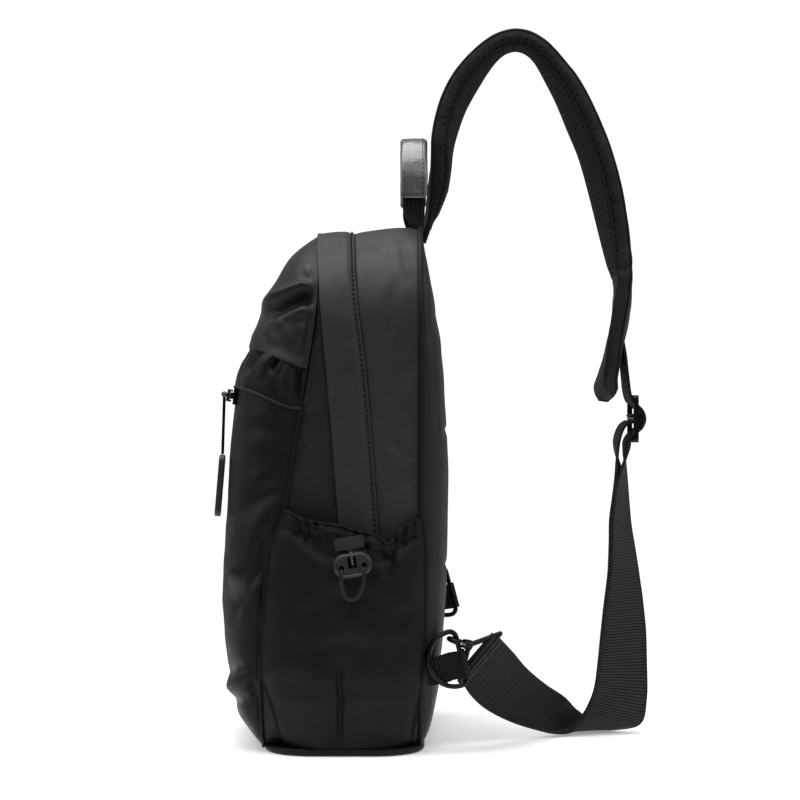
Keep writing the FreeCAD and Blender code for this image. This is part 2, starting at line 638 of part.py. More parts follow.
ring_right, tab_right = ring_and_tab(1)
ring_left, tab_left = ring_and_tab(-1)
shaped("ring_right", ring_right)
shaped("ring_left", ring_left)
shaped("webbing_tab_right", tab_right)
shaped("webbing_tab_left", tab_left)

# ---------------------------------------------------------------- top handle
HANDLE_Y = 38.6
HANDLE_LOW = dim("body_top") + 1.6


def arch(inside, outside, depth, low):
    """An upside-down U across X between two offsets from the handle's middle line."""
    foot = dim("handle_foot")
    bend = dim("handle_bend")
    top = dim("handle_top")

    def outline(shift):
        x = foot + shift
        radius = bend + shift
        height = top + shift
        slope = radius * math.sqrt(0.5)
        points = [Vector(-x, 0, low), Vector(-x, 0, height - radius), Vector(-x + radius, 0, height),
                  Vector(x - radius, 0, height), Vector(x, 0, height - radius), Vector(x, 0, low)]
        left = Vector(-x + radius - slope, 0, height - radius + slope)
        right = Vector(x - radius + slope, 0, height - radius + slope)
        edges = [Part.LineSegment(points[0], points[1]), Part.Arc(points[1], left, points[2]),
                 Part.LineSegment(points[2], points[3]), Part.Arc(points[3], right, points[4]),
                 Part.LineSegment(points[4], points[5]), Part.LineSegment(points[5], points[0])]
        return Part.Face(Part.Wire([edge.toShape() for edge in edges]))

    slab = outline(outside).cut(outline(inside))
    slab.translate(Vector(0, HANDLE_Y - depth / 2, 0))
    return slab.extrude(Vector(0, depth, 0))


narrow = [(HANDLE_Y - 2.4, HANDLE_LOW), (HANDLE_Y - 6.5, HANDLE_LOW + 16), (HANDLE_Y - 6.5, 380),
          (HANDLE_Y + 6.5, 380), (HANDLE_Y + 6.5, HANDLE_LOW + 16), (HANDLE_Y + 2.4, HANDLE_LOW)]
handle_core = arch(-1, 1, dim("handle_webbing"), HANDLE_LOW).common(side_prism(narrow, 80))
shaped("handle_webbing", handle_core)
grip = arch(-dim("grip_thick") / 2, dim("grip_thick") / 2, dim("grip_width"), 327)
shaped("handle_grip", grip.cut(arch(-1.15, 1.15, dim("handle_webbing") + 0.3, 300)))

# ---------------------------------------------------------------- shoulder strap
SWING_TOP = Vector(0, 53.5, 371)
SWING_LOW = RING_SPOT + RING_UP * 9.2
SWING = (SWING_TOP - SWING_LOW).normalize()

STRAP_OUTER = [(44.5, 310), (49.5, 330), (50.8, 352), (51.3, 374), (57, 398), (68, 415), (82, 427.5),
               (102, 435.5), (121, 430), (136, 415), (150, 392), (161, 366), (169, 338), (174, 306),
               (175, 284), (173.5, 262), (169.5, 243), (167.5, 224), (163.5, 207)]
thickness = dim("pad_thick")
half_pad = dim("pad_width") / 2


def swing_slab(low, high):
    """Everything between two heights along the strap's swing axis, for cutting the strap there."""
    box = Part.makeBox(400, 400, high - low, Vector(-200, -200, low))
    box.Placement = frame_place(SWING_TOP, (1, 0, 0), SWING)
    return box


def strap_outline():
    """The strap seen flat on: even width, with a round lower tip."""
    middle = 203.5 + half_pad
    low_left, low_right = Vector(-half_pad, 0, middle), Vector(half_pad, 0, middle)
    high_left, high_right = Vector(-half_pad, 0, 450), Vector(half_pad, 0, 450)
    edges = [Part.Arc(low_left, Vector(0, 0, 203.5), low_right), Part.LineSegment(low_right, high_right),
             Part.LineSegment(high_right, high_left), Part.LineSegment(high_left, low_left)]
    wire = Part.Wire([edge.toShape() for edge in edges])
    return Part.Face(wire).extrude(Vector(0, 300, 0))


flat_on = strap_outline()
NECK_END = 12
above = swing_slab(0.5, 500).fuse(Part.makeBox(200, 200, 300, Vector(-100, 75, 180)))


def strap_layer(near, far):
    """A layer of the padded strap between two depths from its outer face."""
    return strip(STRAP_OUTER, near, far, half_pad).common(flat_on).common(above)


cover = dim("cover_thick")
mesh = dim("mesh_thick")
shaped("strap_pad_cover", strap_layer(0, cover))
shaped("strap_pad_foam", strap_layer(cover + 0.05, thickness - mesh - 0.05))
shaped("strap_pad_mesh", strap_layer(thickness - mesh, thickness))

# The neck narrows from the strap's width to the back seam.
neck_low = HANDLE_LOW + 0.6
neck_side = half_pad - 2
neck_face = polygon_wire([(-NECK_END, 0, neck_low), (NECK_END, 0, neck_low), (neck_side, 0, 345),
                          (neck_side, 0, 400), (-neck_side, 0, 400), (-neck_side, 0, 345)])
neck_zone = Part.Face(neck_face).extrude(Vector(0, 70, 0))
neck = strip(STRAP_OUTER[:6], 0.3, thickness - 2, half_pad).common(neck_zone)
shaped("strap_neck", neck.cut(swing_slab(0, 400)))

# Webbing from the strap's lower end through the slider.
GLIDE = Vector(0, 175.3, 194.5)
UPPER_RUN = [(175.6, 279), (175.0, 262), (171.8, 246), (169.6, 232), (169.4, 220), (170.6, 211),
             (172.4, 205.5), (175.6, 202.2), (178.9, 199), (180.3, 194.5), (178.9, 190), (175.6, 186.8),
             (172.4, 183.5), (170.9, 180.5), (170.8, 178)]
half_web = dim("webbing_width") / 2
web = dim("webbing_thick")

# The ribbon's two edges as (x, y, z), from the slider down, round on the floor and up to the hook.
NEAR_EDGE = [(16, 171, 179), (16, 163.5, 156), (17, 160.5, 132), (17, 159.2, 100), (17, 155.5, 70),
             (17, 153, 45), (18, 150, 28), (18, 145.5, 16.5), (17.5, 140.5, 8.5), (17, 134.7, 3.4),
             (21, 124, 3.2),
             (30, 110, 7.9), (42, 95.5, 14.6), (55, 82, 23.5), (66, 73, 33), (73, 67.5, 42.5)]
FAR_EDGE = [(-16, 171, 179), (-14.5, 172, 156), (-12, 174, 132), (-8.5, 178.5, 100), (-1, 181.5, 70),
            (3, 182, 45), (5, 179.5, 22), (2, 173, 8.5), (-3, 165, 3.2), (-10, 152, 2.4), (-7, 135, 10),
            (8, 129.8, 19),
            (24, 115, 31), (42, 101.8, 40.6), (58, 94, 54), (73, 88, 67)]

# The inner layer leaves the slider's bar on its own and meets the outer layer at the second section.
NEAR_RETURN = [(15.5, 173.2, 193.6), (15.6, 169.4, 190.2), (15.7, 166.1, 181), (15.8, 164.4, 169)]
FAR_RETURN = [(-15.5, 173.2, 193.6), (-15.5, 169.4, 190.2), (-15.4, 166.3, 181), (-15.1, 168.2, 169)]


def ribbon(low, high, near_edge, far_edge):
    """The ribbon between two offsets from its middle surface, drawn section by section."""
    near = [Vector(*point) for point in near_edge]
    far = [Vector(*point) for point in far_edge]
    sections = []
    for index in range(len(near)):
        before = max(index - 1, 0)
        after = min(index + 1, len(near) - 1)
        along = (near[after] + far[after]) - (near[before] + far[before])
        normal = (near[index] - far[index]).cross(along).normalize()
        corners = [near[index] + normal * low, far[index] + normal * low,
                   far[index] + normal * high, near[index] + normal * high]
        sections.append(Part.makePolygon(corners + [corners[0]]))
    return Part.makeLoft(sections, True, True)


outer_ribbon = ribbon(0.1, 0.1 + web, NEAR_EDGE, FAR_EDGE)
inner_ribbon = ribbon(-0.1 - web, -0.1, NEAR_RETURN + NEAR_EDGE[1:], FAR_RETURN + FAR_EDGE[1:])
HOOK_LOW = Vector(74.5, 66.0, 42.0)
HOOK_HIGH = Vector(74.5, 89.5, 69.5)
bar_run = (HOOK_HIGH - HOOK_LOW).normalize()
bar_mid = (HOOK_LOW + HOOK_HIGH) * 0.5
wire = dim("hook_wire")
clear = 0.2


def bent(points, radius):
    """A bar bent at its points, with round joints."""
    shape = ball(points[0], radius)
    for start, end in zip(points, points[1:]):
        shape = shape.fuse(rod(start, end, radius)).fuse(ball(end, radius))
    return shape


HOOK_BASE = Vector(79.0, 71.2, 63.4)
eye_line = [HOOK_BASE, HOOK_HIGH, HOOK_LOW, HOOK_BASE]
eye_room = bent(eye_line, wire + clear)
loop = Part.makeCylinder(wire + clear + web, 31, bar_mid - bar_run * 15.5, bar_run)
loop_core = Part.makeCylinder(wire + clear + web, 40, bar_mid - bar_run * 20, bar_run)
upper = strip(UPPER_RUN, -web / 2, web / 2, half_web)
webbing = upper.fuse(outer_ribbon).fuse(loop).cut(eye_room)
shaped("strap_webbing", webbing)
across = Vector(1, 0, 0)
bar_loop = Part.makeCylinder(dim("glide_bar") + clear + web, 31, GLIDE - across * 15.5, across)
bar_loop = bar_loop.cut(Part.makeCylinder(dim("glide_bar") + clear, 40, GLIDE - across * 20, across))
shaped("strap_webbing_return", bar_loop.fuse(inner_ribbon.cut(loop_core)).cut(webbing))

plate("tri_glide_frame", "glide_width", "glide_height", "glide_thick", "glide_corner",
      frame_place(GLIDE, (1, 0, 0), (0, 1, 0)),
      slots=[("glide_slot_width", "2 * glide_slot_height + 4.6", "0")])
glide_bar = doc.addObject("Part::Cylinder", "tri_glide_bar")
bind(glide_bar, "Radius", "glide_bar")
bind(glide_bar, "Height", "glide_slot_width + 0.02")
bar_start = GLIDE - across * (dim("glide_slot_width") / 2 + 0.01)
glide_bar.Placement = frame_place(bar_start, (0, 0, 1), across)
keep(glide_bar, "tri_glide_bar")

# ---------------------------------------------------------------- snap hook
CLAW = Vector(SWING_LOW.x, SWING_LOW.y, SWING_LOW.z)
hook_run = (HOOK_BASE - CLAW).normalize()
claw_side = (Vector(1, 0, 0) - hook_run * hook_run.x).normalize()
eye = bent(eye_line, wire)
collar = Part.makeCylinder(3, 3, HOOK_BASE - hook_run * 2.0, hook_run)
eye_hole = Part.makeCylinder(1.05, 12, HOOK_BASE - hook_run * 6, hook_run)
head_room = Part.makeCylinder(2.0, 1.2, HOOK_BASE + hook_run * 0.2, hook_run)
shaped("hook_eye", eye.fuse(collar).cut(eye_hole).cut(head_room))
pin = Part.makeCylinder(1.0, 4.0, HOOK_BASE - hook_run * 3.0, hook_run)
pin_head = Part.makeCylinder(1.9, 0.9, HOOK_BASE + hook_run * 0.3, hook_run)
shaped("hook_swivel_pin", pin.fuse(pin_head))

GATE_START = 15
GATE_END = 125


def claw_point(angle, radius):
    turn = math.radians(angle)
    return CLAW + hook_run * (math.cos(turn) * radius) + claw_side * (math.sin(turn) * radius)


def claw_arc(start, end):
    radius = dim("claw_radius")
    arc = Part.Arc(claw_point(start, radius), claw_point((start + end) / 2, radius), claw_point(end, radius))
    tangent = arc.tangent(arc.FirstParameter)[0]
    section = Part.Wire([Part.makeCircle(wire, claw_point(start, radius), tangent)])
    return Part.Wire([arc.toShape()]).makePipeShell([section], True, False)


claw = claw_arc(GATE_END, 360 + GATE_START).fuse(ball(claw_point(GATE_END, dim("claw_radius")), wire))
claw = claw.fuse(Part.makeCylinder(2.6, 1.85, CLAW + hook_run * (dim("claw_radius") - 0.6), hook_run))
pin_space = Part.makeCylinder(1.0, 6, HOOK_BASE - hook_run * 3.0, hook_run)
shaped("hook_claw", claw.cut(pin_space))
gate_hinge = claw_point(GATE_START + 14, dim("claw_radius"))
gate_tip = claw_point(GATE_END - 35, dim("claw_radius") - 0.2)
gate_room = ball(claw_point(GATE_START, dim("claw_radius")), wire + 0.8)
gate = bent([gate_hinge + (gate_tip - gate_hinge) * 0.2, gate_tip], 0.9)
shaped("hook_gate", gate.cut(gate_room))

# ---------------------------------------------------------------- checks and files
doc.recompute()
for item in doc.Objects:
    if "Invalid" in item.State or "Error" in item.State:
        raise SystemExit("failed object: " + item.Name)
for item in SUBPARTS:
    if item.Shape.isNull() or not item.Shape.isValid() or len(item.Shape.Solids) != 1:
        raise SystemExit("not one valid solid: " + item.Label)
os.makedirs("parts", exist_ok=True)
for item in SUBPARTS:
    item.Shape.exportStep("parts/%s.step" % item.Label)
print("%d sub-parts written" % len(SUBPARTS))
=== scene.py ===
import math

import bpy
import numpy as np
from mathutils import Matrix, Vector, noise


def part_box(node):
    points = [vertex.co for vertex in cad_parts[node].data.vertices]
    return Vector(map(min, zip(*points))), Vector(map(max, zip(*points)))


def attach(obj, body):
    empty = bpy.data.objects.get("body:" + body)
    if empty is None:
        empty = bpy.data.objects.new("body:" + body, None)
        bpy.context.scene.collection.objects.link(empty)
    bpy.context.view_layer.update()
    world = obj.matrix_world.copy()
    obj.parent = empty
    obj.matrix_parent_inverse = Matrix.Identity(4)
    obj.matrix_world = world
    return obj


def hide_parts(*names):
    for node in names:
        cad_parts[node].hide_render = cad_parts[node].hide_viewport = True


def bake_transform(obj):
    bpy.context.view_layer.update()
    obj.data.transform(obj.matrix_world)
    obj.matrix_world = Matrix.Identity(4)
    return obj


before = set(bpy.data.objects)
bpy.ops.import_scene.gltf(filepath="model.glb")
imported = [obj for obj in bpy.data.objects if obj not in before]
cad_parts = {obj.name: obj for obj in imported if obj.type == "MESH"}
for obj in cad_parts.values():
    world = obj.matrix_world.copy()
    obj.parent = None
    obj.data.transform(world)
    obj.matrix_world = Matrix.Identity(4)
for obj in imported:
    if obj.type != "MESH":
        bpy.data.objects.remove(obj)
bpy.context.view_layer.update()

# A black nylon sling bag, built in the CAD frame: +Z up, the bag's front towards -Y, its right flank +X.
# Lengths in this file are millimetres unless a name says otherwise. MM turns them into Blender's metres.
MM = 0.001
WHITE = (1, 1, 1, 1)

# The camera's distance from the bag's middle plane, and the (y, z) that it looks at.
EYE_OUT = 1300.0
EYE_SPOT = np.array([31.0, 206.0])


def node_box(name):
    """A CAD node's lowest and highest corners, in millimetres."""
    low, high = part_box(name)
    return np.array(low) / MM, np.array(high) / MM


# ---------------------------------------------------------------- kinds of material

def set_sockets(node, **values):
    """Sets a node's inputs by name, with _ for each space."""
    for key, value in values.items():
        node.inputs[key.replace("_", " ")].default_value = value


class Shader:
    """A Principled material and short ways to add nodes to it."""

    def __init__(self, name, colour, roughness, **settings):
        self.material = bpy.data.materials.new(name)
        self.material.use_nodes = True
        self.tree = self.material.node_tree
        self.principled = self.tree.nodes["Principled BSDF"]
        set_sockets(self.principled, Base_Color=(*colour, 1), Roughness=roughness, **settings)
        self.height = None

    def node(self, kind, **settings):
        made = self.tree.nodes.new(kind)
        for key, value in settings.items():
            setattr(made, key, value)
        return made

    def feed(self, socket, value):
        if isinstance(value, (int, float, tuple)):
            socket.default_value = value
        else:
            self.tree.links.new(value, socket)

    def math(self, operation, first, second=0.0, third=0.0):
        made = self.node("ShaderNodeMath", operation=operation)
        for socket, value in zip(made.inputs, (first, second, third)):
            self.feed(socket, value)
        return made.outputs[0]

    def cloth_axes(self):
        """Cloth coordinates u and v in millimetres."""
        uv = self.node("ShaderNodeUVMap", uv_map="cloth")
        split = self.node("ShaderNodeSeparateXYZ")
        self.feed(split.inputs[0], uv.outputs[0])
        return split.outputs[0], split.outputs[1]

    def place(self, scale):
        """Object coordinates in millimetres, times a scale."""
        spot = self.node("ShaderNodeTexCoord").outputs["Object"]
        scaled = self.node("ShaderNodeVectorMath", operation="SCALE")
        self.feed(scaled.inputs[0], spot)
        scaled.inputs["Scale"].default_value = scale / MM
        return scaled.outputs[0]

    def noise(self, scale, detail=3.0):
        """Noise whose features are about 1 / scale millimetres across."""
        made = self.node("ShaderNodeTexNoise")
        self.feed(made.inputs["Vector"], self.place(scale))
        set_sockets(made, Scale=1.0, Detail=detail, Roughness=0.55)
        return made.outputs[0]

    def cells(self, place, **settings):
        """Distance from the nearest cell's centre."""
        made = self.node("ShaderNodeTexVoronoi", feature="F1")
        self.feed(made.inputs["Vector"], place)
        set_sockets(made, **settings)
        return made.outputs["Distance"]

    def wave(self, axis, pitch):
        """A sine wave along an axis, from 0 to 1."""
        angle = self.math("MULTIPLY", axis, 2 * math.pi / pitch)
        return self.math("MULTIPLY_ADD", self.math("SINE", angle), 0.5, 0.5)

    def add_height(self, value, amount):
        """Adds to the bump height, in millimetres."""
        part = self.math("MULTIPLY", value, amount)
        self.height = part if self.height is None else self.math("ADD", self.height, part)

    def ramp(self, value, start, end, low=0.0, high=1.0, kind="LINEAR"):
        """Takes start to low and end to high, and stops there."""
        made = self.node("ShaderNodeMapRange", interpolation_type=kind)
        self.feed(made.inputs["Value"], value)
        set_sockets(made, From_Min=start, From_Max=end, To_Min=low, To_Max=high)
        return made.outputs[0]

    def mix_colour(self, value, dark, light):
        """Mixes the base colour between two greys by a value from 0 to 1."""
        mix = self.node("ShaderNodeMix", data_type="RGBA")
        self.feed(mix.inputs[0], value)
        mix.inputs[6].default_value = (*grey(dark), 1)
        mix.inputs[7].default_value = (*grey(light), 1)
        self.feed(self.principled.inputs["Base Color"], mix.outputs[2])

    def tint(self, uneven, dark, light):
        """Colours the material by noise, which lies mostly between 0.3 and 0.7."""
        self.mix_colour(self.ramp(uneven, 0.3, 0.7), dark, light)

    def rough_between(self, uneven, low, high):
        self.feed(self.principled.inputs["Roughness"], self.ramp(uneven, 0.3, 0.7, low, high))

    def done(self):
        if self.height is not None:
            bump = self.node("ShaderNodeBump")
            set_sockets(bump, Strength=1.0, Distance=MM)
            self.feed(bump.inputs["Height"], self.height)
            self.feed(self.principled.inputs["Normal"], bump.outputs[0])
        return self.material


def grey(value):
    """A linear colour for a screen grey from 0 to 255."""
    return ((value / 255) ** 2.2,) * 3


def woven(name, value, sheen, specular, roughness=0.5, pitch=0.55, depth=0.07):
    """Woven cloth: crossing yarns of some pitch, uneven dye, fine fuzz."""
    cloth = Shader(name, grey(value), roughness, Sheen_Weight=sheen, Sheen_Roughness=0.4,
                   Specular_IOR_Level=specular)
    u, v = cloth.cloth_axes()
    cloth.add_height(cloth.math("MULTIPLY", cloth.wave(u, pitch), cloth.wave(v, pitch)), depth)
    cloth.add_height(cloth.noise(2.2, 4), depth * 0.8)
    cloth.tint(cloth.noise(0.05, 4), value * 0.86, value * 1.12)
    cloth.rough_between(cloth.noise(0.12), roughness - 0.06, roughness + 0.08)
    return cloth.done()


def ribbed(name, value, pitch, depth, specular, along=False):
    """Strap webbing: bold ribs one way, fine yarns the other, with painted shade between the ribs."""
    web = Shader(name, grey(value), 0.5, Sheen_Weight=0.03, Specular_IOR_Level=specular)
    u, v = web.cloth_axes()
    first, second = (u, v) if along else (v, u)
    rib = web.wave(first, pitch)
    web.add_height(rib, depth)
    web.add_height(web.wave(second, pitch * 0.45), depth * 0.35)
    web.add_height(web.noise(1.5), depth * 0.6)
    wear = web.math("MULTIPLY", web.noise(0.25), 0.4)
    # The colour is darker in the grooves between the ribs, a painted shade, and uneven by noise for wear.
    web.tint(web.math("ADD", web.math("MULTIPLY", rib, 0.6), wear), value * 0.45, value * 1.25)
    return web.done()


def plain(name, value, roughness, specular=0.5, grain=0.02, scale=2.0, metallic=0.0):
    """Moulded or painted stuff with a fine surface grain and uneven wear."""
    stuff = Shader(name, grey(value), roughness, Metallic=metallic, Specular_IOR_Level=specular)
    stuff.add_height(stuff.noise(scale, 4), grain)
    stuff.rough_between(stuff.noise(0.3, 4), roughness * 0.8, roughness * 1.25)
    stuff.tint(stuff.noise(0.15), value * 0.9, value * 1.08)
    return stuff.done()


def leather(name, value):
    """Glossy pebbled leather."""
    hide = Shader(name, grey(value), 0.32, Coat_Weight=0.8, Coat_Roughness=0.22, Specular_IOR_Level=0.9)
    hide.add_height(hide.cells(hide.place(1.25), Scale=1.0), -0.16)
    hide.add_height(hide.noise(2.6, 4), 0.05)
    hide.rough_between(hide.noise(0.5), 0.24, 0.42)
    hide.tint(hide.noise(0.2), value * 0.85, value * 1.1)
    return hide.done()


def air_mesh(name, value):
    """Spacer mesh: rows of small open cells, painted near black inside as shade in the holes."""
    net = Shader(name, grey(value), 0.6, Sheen_Weight=0.02, Specular_IOR_Level=0.05)
    stretch = net.node("ShaderNodeVectorMath", operation="MULTIPLY")
    net.feed(stretch.inputs[0], net.node("ShaderNodeUVMap", uv_map="cloth").outputs[0])
    stretch.inputs[1].default_value = (0.6, 1, 1)
    thread = net.ramp(net.cells(stretch.outputs[0], Randomness=0.12, Scale=0.3), 0.25, 0.5)
    net.add_height(thread, 0.9)
    # Painted shade: the cells' middles are painted near black for the shade inside the holes, and the threads
    # round them lighter.
    net.mix_colour(thread, value * 0.15, value * 1.3)
    return net.done()


# One black nylon in five painted brightnesses. These are lit and shaded copies for how each part faces the
# lamps: lighter for the rear gusset, storm flap and top flap, and darker for the front gusset, band hem,
# front panel, band and side pockets.
NYLON_PAINTED_LIT_GUSSET = woven("nylon_painted_lit_gusset", 37, sheen=0.03, specular=0.32)
NYLON_PAINTED_LIT_FLAP = woven("nylon_painted_lit_flap", 33, sheen=0.01, specular=0.22, roughness=0.38)
NYLON_PAINTED_HALF_SHADED = woven("nylon_painted_half_shaded", 27, sheen=0.02, specular=0.24)
NYLON_PAINTED_SHADED_PANEL = woven("nylon_painted_shaded_panel", 18, sheen=0.01, specular=0.17, roughness=0.43)
NYLON_PAINTED_SHADED_POUCH = woven("nylon_painted_shaded_pouch", 20, sheen=0.01, specular=0.13, roughness=0.45)
PAD = woven("pad_cloth", 25, sheen=0.03, specular=0.25, roughness=0.6, pitch=0.5, depth=0.06)
BACK = woven("back_cloth", 27, sheen=0.02, specular=0.3, pitch=0.6, depth=0.08)
WELT = woven("welt_cloth", 9, sheen=0.02, specular=0.2, pitch=0.6, depth=0.06)
TAPE = woven("zipper_tape_cloth", 12, sheen=0.03, specular=0.25, roughness=0.55, pitch=0.4, depth=0.08)
WEBBING = ribbed("strap_web", 42, 1.8, 0.55, specular=0.1)
WEBBING_BACK = ribbed("strap_web_back", 18, 2.4, 0.25, specular=0.12, along=True)
ELASTIC = ribbed("elastic_web", 12, 0.5, 0.12, specular=0.3)
TAB = ribbed("tab_web", 24, 1.9, 0.45, specular=0.1)
COIL = plain("coil_nylon", 14, 0.35, grain=0.01)
THREAD = plain("thread", 30, 0.55, grain=0.03, scale=5.0, specular=0.3)
DARK_THREAD = plain("dark_thread", 5, 0.6, grain=0.03, scale=5.0, specular=0.2)
GUNMETAL = plain("gunmetal", 42, 0.26, metallic=1.0, grain=0.006, scale=3.0)
STEEL = plain("spring_wire", 150, 0.25, metallic=1.0, grain=0.004)
TAG = plain("rubber_tag", 34, 0.42)
LOCK = plain("lock_resin", 38, 0.3, grain=0.012)
BOARD = plain("board_resin", 50, 0.5)
LEATHER = leather("grip_hide", 55)
NET = air_mesh("air_net", 30)


# ---------------------------------------------------------------- camera, light and floor

def place_object(name, data):
    """Adds an object to the scene."""
    made = bpy.data.objects.new(name, data)
    bpy.context.scene.collection.objects.link(made)
    return made


def look_at(thing, place, target):
    thing.location = Vector(place)
    thing.rotation_euler = (Vector(target) - Vector(place)).to_track_quat("-Z", "Y").to_euler()


def make_camera():
    """Level with the bag's middle, square to its right flank, a little over a metre away."""
    data = bpy.data.cameras.new("camera")
    data.sensor_width = 36.0
    data.lens = 94.4
    data.clip_end = 50
    camera = place_object("camera", data)
    target = np.array([0, *EYE_SPOT]) * MM
    look_at(camera, target + [EYE_OUT * MM, 0, 0], target)
    bpy.context.scene.camera = camera


def area_light(name, place, target, width, height, power):
    data = bpy.data.lights.new(name, "AREA")
    data.shape = "RECTANGLE"
    data.size = width
    data.size_y = height
    data.energy = power
    look_at(place_object(name, data), place, target)


def make_world():
    """Plain white studio air, bright to look at and dimmer as a light, so that black cloth stays black."""
    world = bpy.data.worlds.new("studio")
    world.use_nodes = True
    nodes, links = world.node_tree.nodes, world.node_tree.links
    nodes.clear()
    path = nodes.new("ShaderNodeLightPath")
    mix = nodes.new("ShaderNodeMixShader")
    links.new(path.outputs["Is Camera Ray"], mix.inputs[0])
    as_light, as_seen = 0.27, 1.05
    for socket, strength in ((1, as_light), (2, as_seen)):
        air = nodes.new("ShaderNodeBackground")
        set_sockets(air, Color=WHITE, Strength=strength)
        links.new(air.outputs[0], mix.inputs[socket])
    out = nodes.new("ShaderNodeOutputWorld")
    links.new(mix.outputs[0], out.inputs["Surface"])
    bpy.context.scene.world = world


def make_stage():
    bpy.context.scene.view_settings.view_transform = "Standard"
    make_world()
    area_light("top_light", (0.1, -0.25, 1.7), (0, 0.03, 0.1), 1.6, 1.6, 35)
    area_light("front_light", (0.25, -1.5, 1.0), (0, 0, 0.2), 0.9, 1.2, 8)
    area_light("back_light", (0.35, 1.5, 0.9), (0, 0.05, 0.2), 0.7, 1.2, 9)
    area_light("camera_light", (1.5, 0.5, 1.3), (0, 0.03, 0.2), 1.0, 0.8, 5)
    make_floor()


def make_floor():
    """White paper under the bag that fades into the white air round it, so that no horizon shows."""
    mesh = bpy.data.meshes.new("floor")
    reach = 3.0
    mesh.from_pydata([(-reach, -reach, 0), (reach, -reach, 0), (reach, reach, 0), (-reach, reach, 0)],
                     [], [(0, 1, 2, 3)])
    floor = place_object("floor", mesh)
    paper = Shader("floor_white", (0.94, 0.94, 0.94), 0.8, Specular_IOR_Level=0.05,
                   Emission_Color=WHITE, Emission_Strength=0.26)
    away = paper.node("ShaderNodeVectorMath", operation="DISTANCE")
    away.inputs[1].default_value = (0, 0.05, 0)
    paper.feed(away.inputs[0], paper.node("ShaderNodeTexCoord").outputs["Object"])
    fade_start, fade_end = 0.22, 0.5
    solid = paper.ramp(away.outputs["Value"], fade_start, fade_end, 1.0, 0.0, "SMOOTHSTEP")
    paper.feed(paper.principled.inputs["Alpha"], solid)
    mesh.materials.append(paper.done())


make_camera()
make_stage()


# ---------------------------------------------------------------- curves and meshes

def run_along(line):
    """How far along a line each of its points is."""
    return np.concatenate([[0], np.cumsum(np.linalg.norm(np.diff(line, axis=0), axis=1))])


def at_run(where, run, values):
    """The values at some distance along a line whose points are at run."""
    return np.stack([np.interp(where, run, values[:, axis]) for axis in range(values.shape[1])], axis=-1)


def spaced(line, count, endpoint=True):
    """count points, evenly spaced, on the straight pieces of a line."""
    run = run_along(line)
    return at_run(np.linspace(0, run[-1], count, endpoint=endpoint), run, line)


def smooth_curve(points, count):
    """count points, evenly spaced, on a smooth curve through the given points."""
    points = np.array(points, float)
    gaps = np.linalg.norm(np.diff(points, axis=0), axis=1) ** 0.5
    knots = np.concatenate([[0], np.cumsum(gaps)])
    slopes = np.gradient(points, knots, axis=0)
    query = np.linspace(0, knots[-1], 12 * count)
    seat = np.clip(np.searchsorted(knots, query, side="right") - 1, 0, len(knots) - 2)
    span = (knots[seat + 1] - knots[seat])[:, None]
    part = (query - knots[seat])[:, None] / span
    start, end = points[seat], points[seat + 1]
    leaving, arriving = span * slopes[seat], span * slopes[seat + 1]
    fine = (2 * part ** 3 - 3 * part ** 2 + 1) * start + (part ** 3 - 2 * part ** 2 + part) * leaving
    fine += (3 * part ** 2 - 2 * part ** 3) * end + (part ** 3 - part ** 2) * arriving
    return spaced(fine, count)


def line_at(points, z):
    """The y of a seam line, given as (y, z) points, at heights z."""
    fine = smooth_curve(points, 160)
    order = np.argsort(fine[:, 1])
    return np.interp(z, fine[order, 1], fine[order, 0])


def ease(low, high, value):
    part = np.clip((value - low) / (high - low), 0, 1)
    return part * part * (3 - 2 * part)


def bell(gap, width):
    """1 where the gap is nothing, falling to nothing at about twice the width."""
    return np.exp(-(gap / width) ** 2)


def unit(vectors):
    length = np.linalg.norm(vectors, axis=-1, keepdims=True)
    return vectors / np.maximum(length, 1e-9)


def mesh_object(name, points, faces, uv=None):
    """A smooth-shaded mesh from millimetre points. uv is one (u, v) in millimetres for each point."""
    mesh = bpy.data.meshes.new(name)
    mesh.from_pydata((np.asarray(points) * MM).tolist(), [], faces)
    mesh.validate()
    if uv is not None:
        layer = mesh.uv_layers.new(name="cloth")
        corners = np.zeros(len(mesh.loops), int)
        mesh.loops.foreach_get("vertex_index", corners)
        layer.data.foreach_set("uv", np.asarray(uv, float)[corners].ravel())
    mesh.polygons.foreach_set("use_smooth", [True] * len(mesh.polygons))
    mesh.update()
    return place_object(name, mesh)


def grid_faces(rows, columns, round_rows=False, round_columns=False):
    faces = []
    for row in range(rows if round_rows else rows - 1):
        following = (row + 1) % rows
        for column in range(columns if round_columns else columns - 1):
            beside = (column + 1) % columns
            faces.append((row * columns + column, following * columns + column,
                          following * columns + beside, row * columns + beside))
    return faces


def spread_uv(u, v):
    """Cloth coordinates of a grid whose columns are at u and whose rows are at v."""
    return np.stack(np.broadcast_arrays(u[None, :], v[:, None]), axis=-1).reshape(-1, 2)


def grid_uv(grid):
    """Cloth coordinates of a grid: millimetres along its middle column and middle row."""
    rows, columns = grid.shape[:2]
    return spread_uv(run_along(grid[rows // 2]), run_along(grid[:, columns // 2]))


def grid_normals(grid):
    """A unit normal for each point of a grid, on the side its row and column order turns to."""
    down = np.gradient(grid, axis=0)
    across = np.gradient(grid, axis=1)
    return unit(np.cross(across, down))


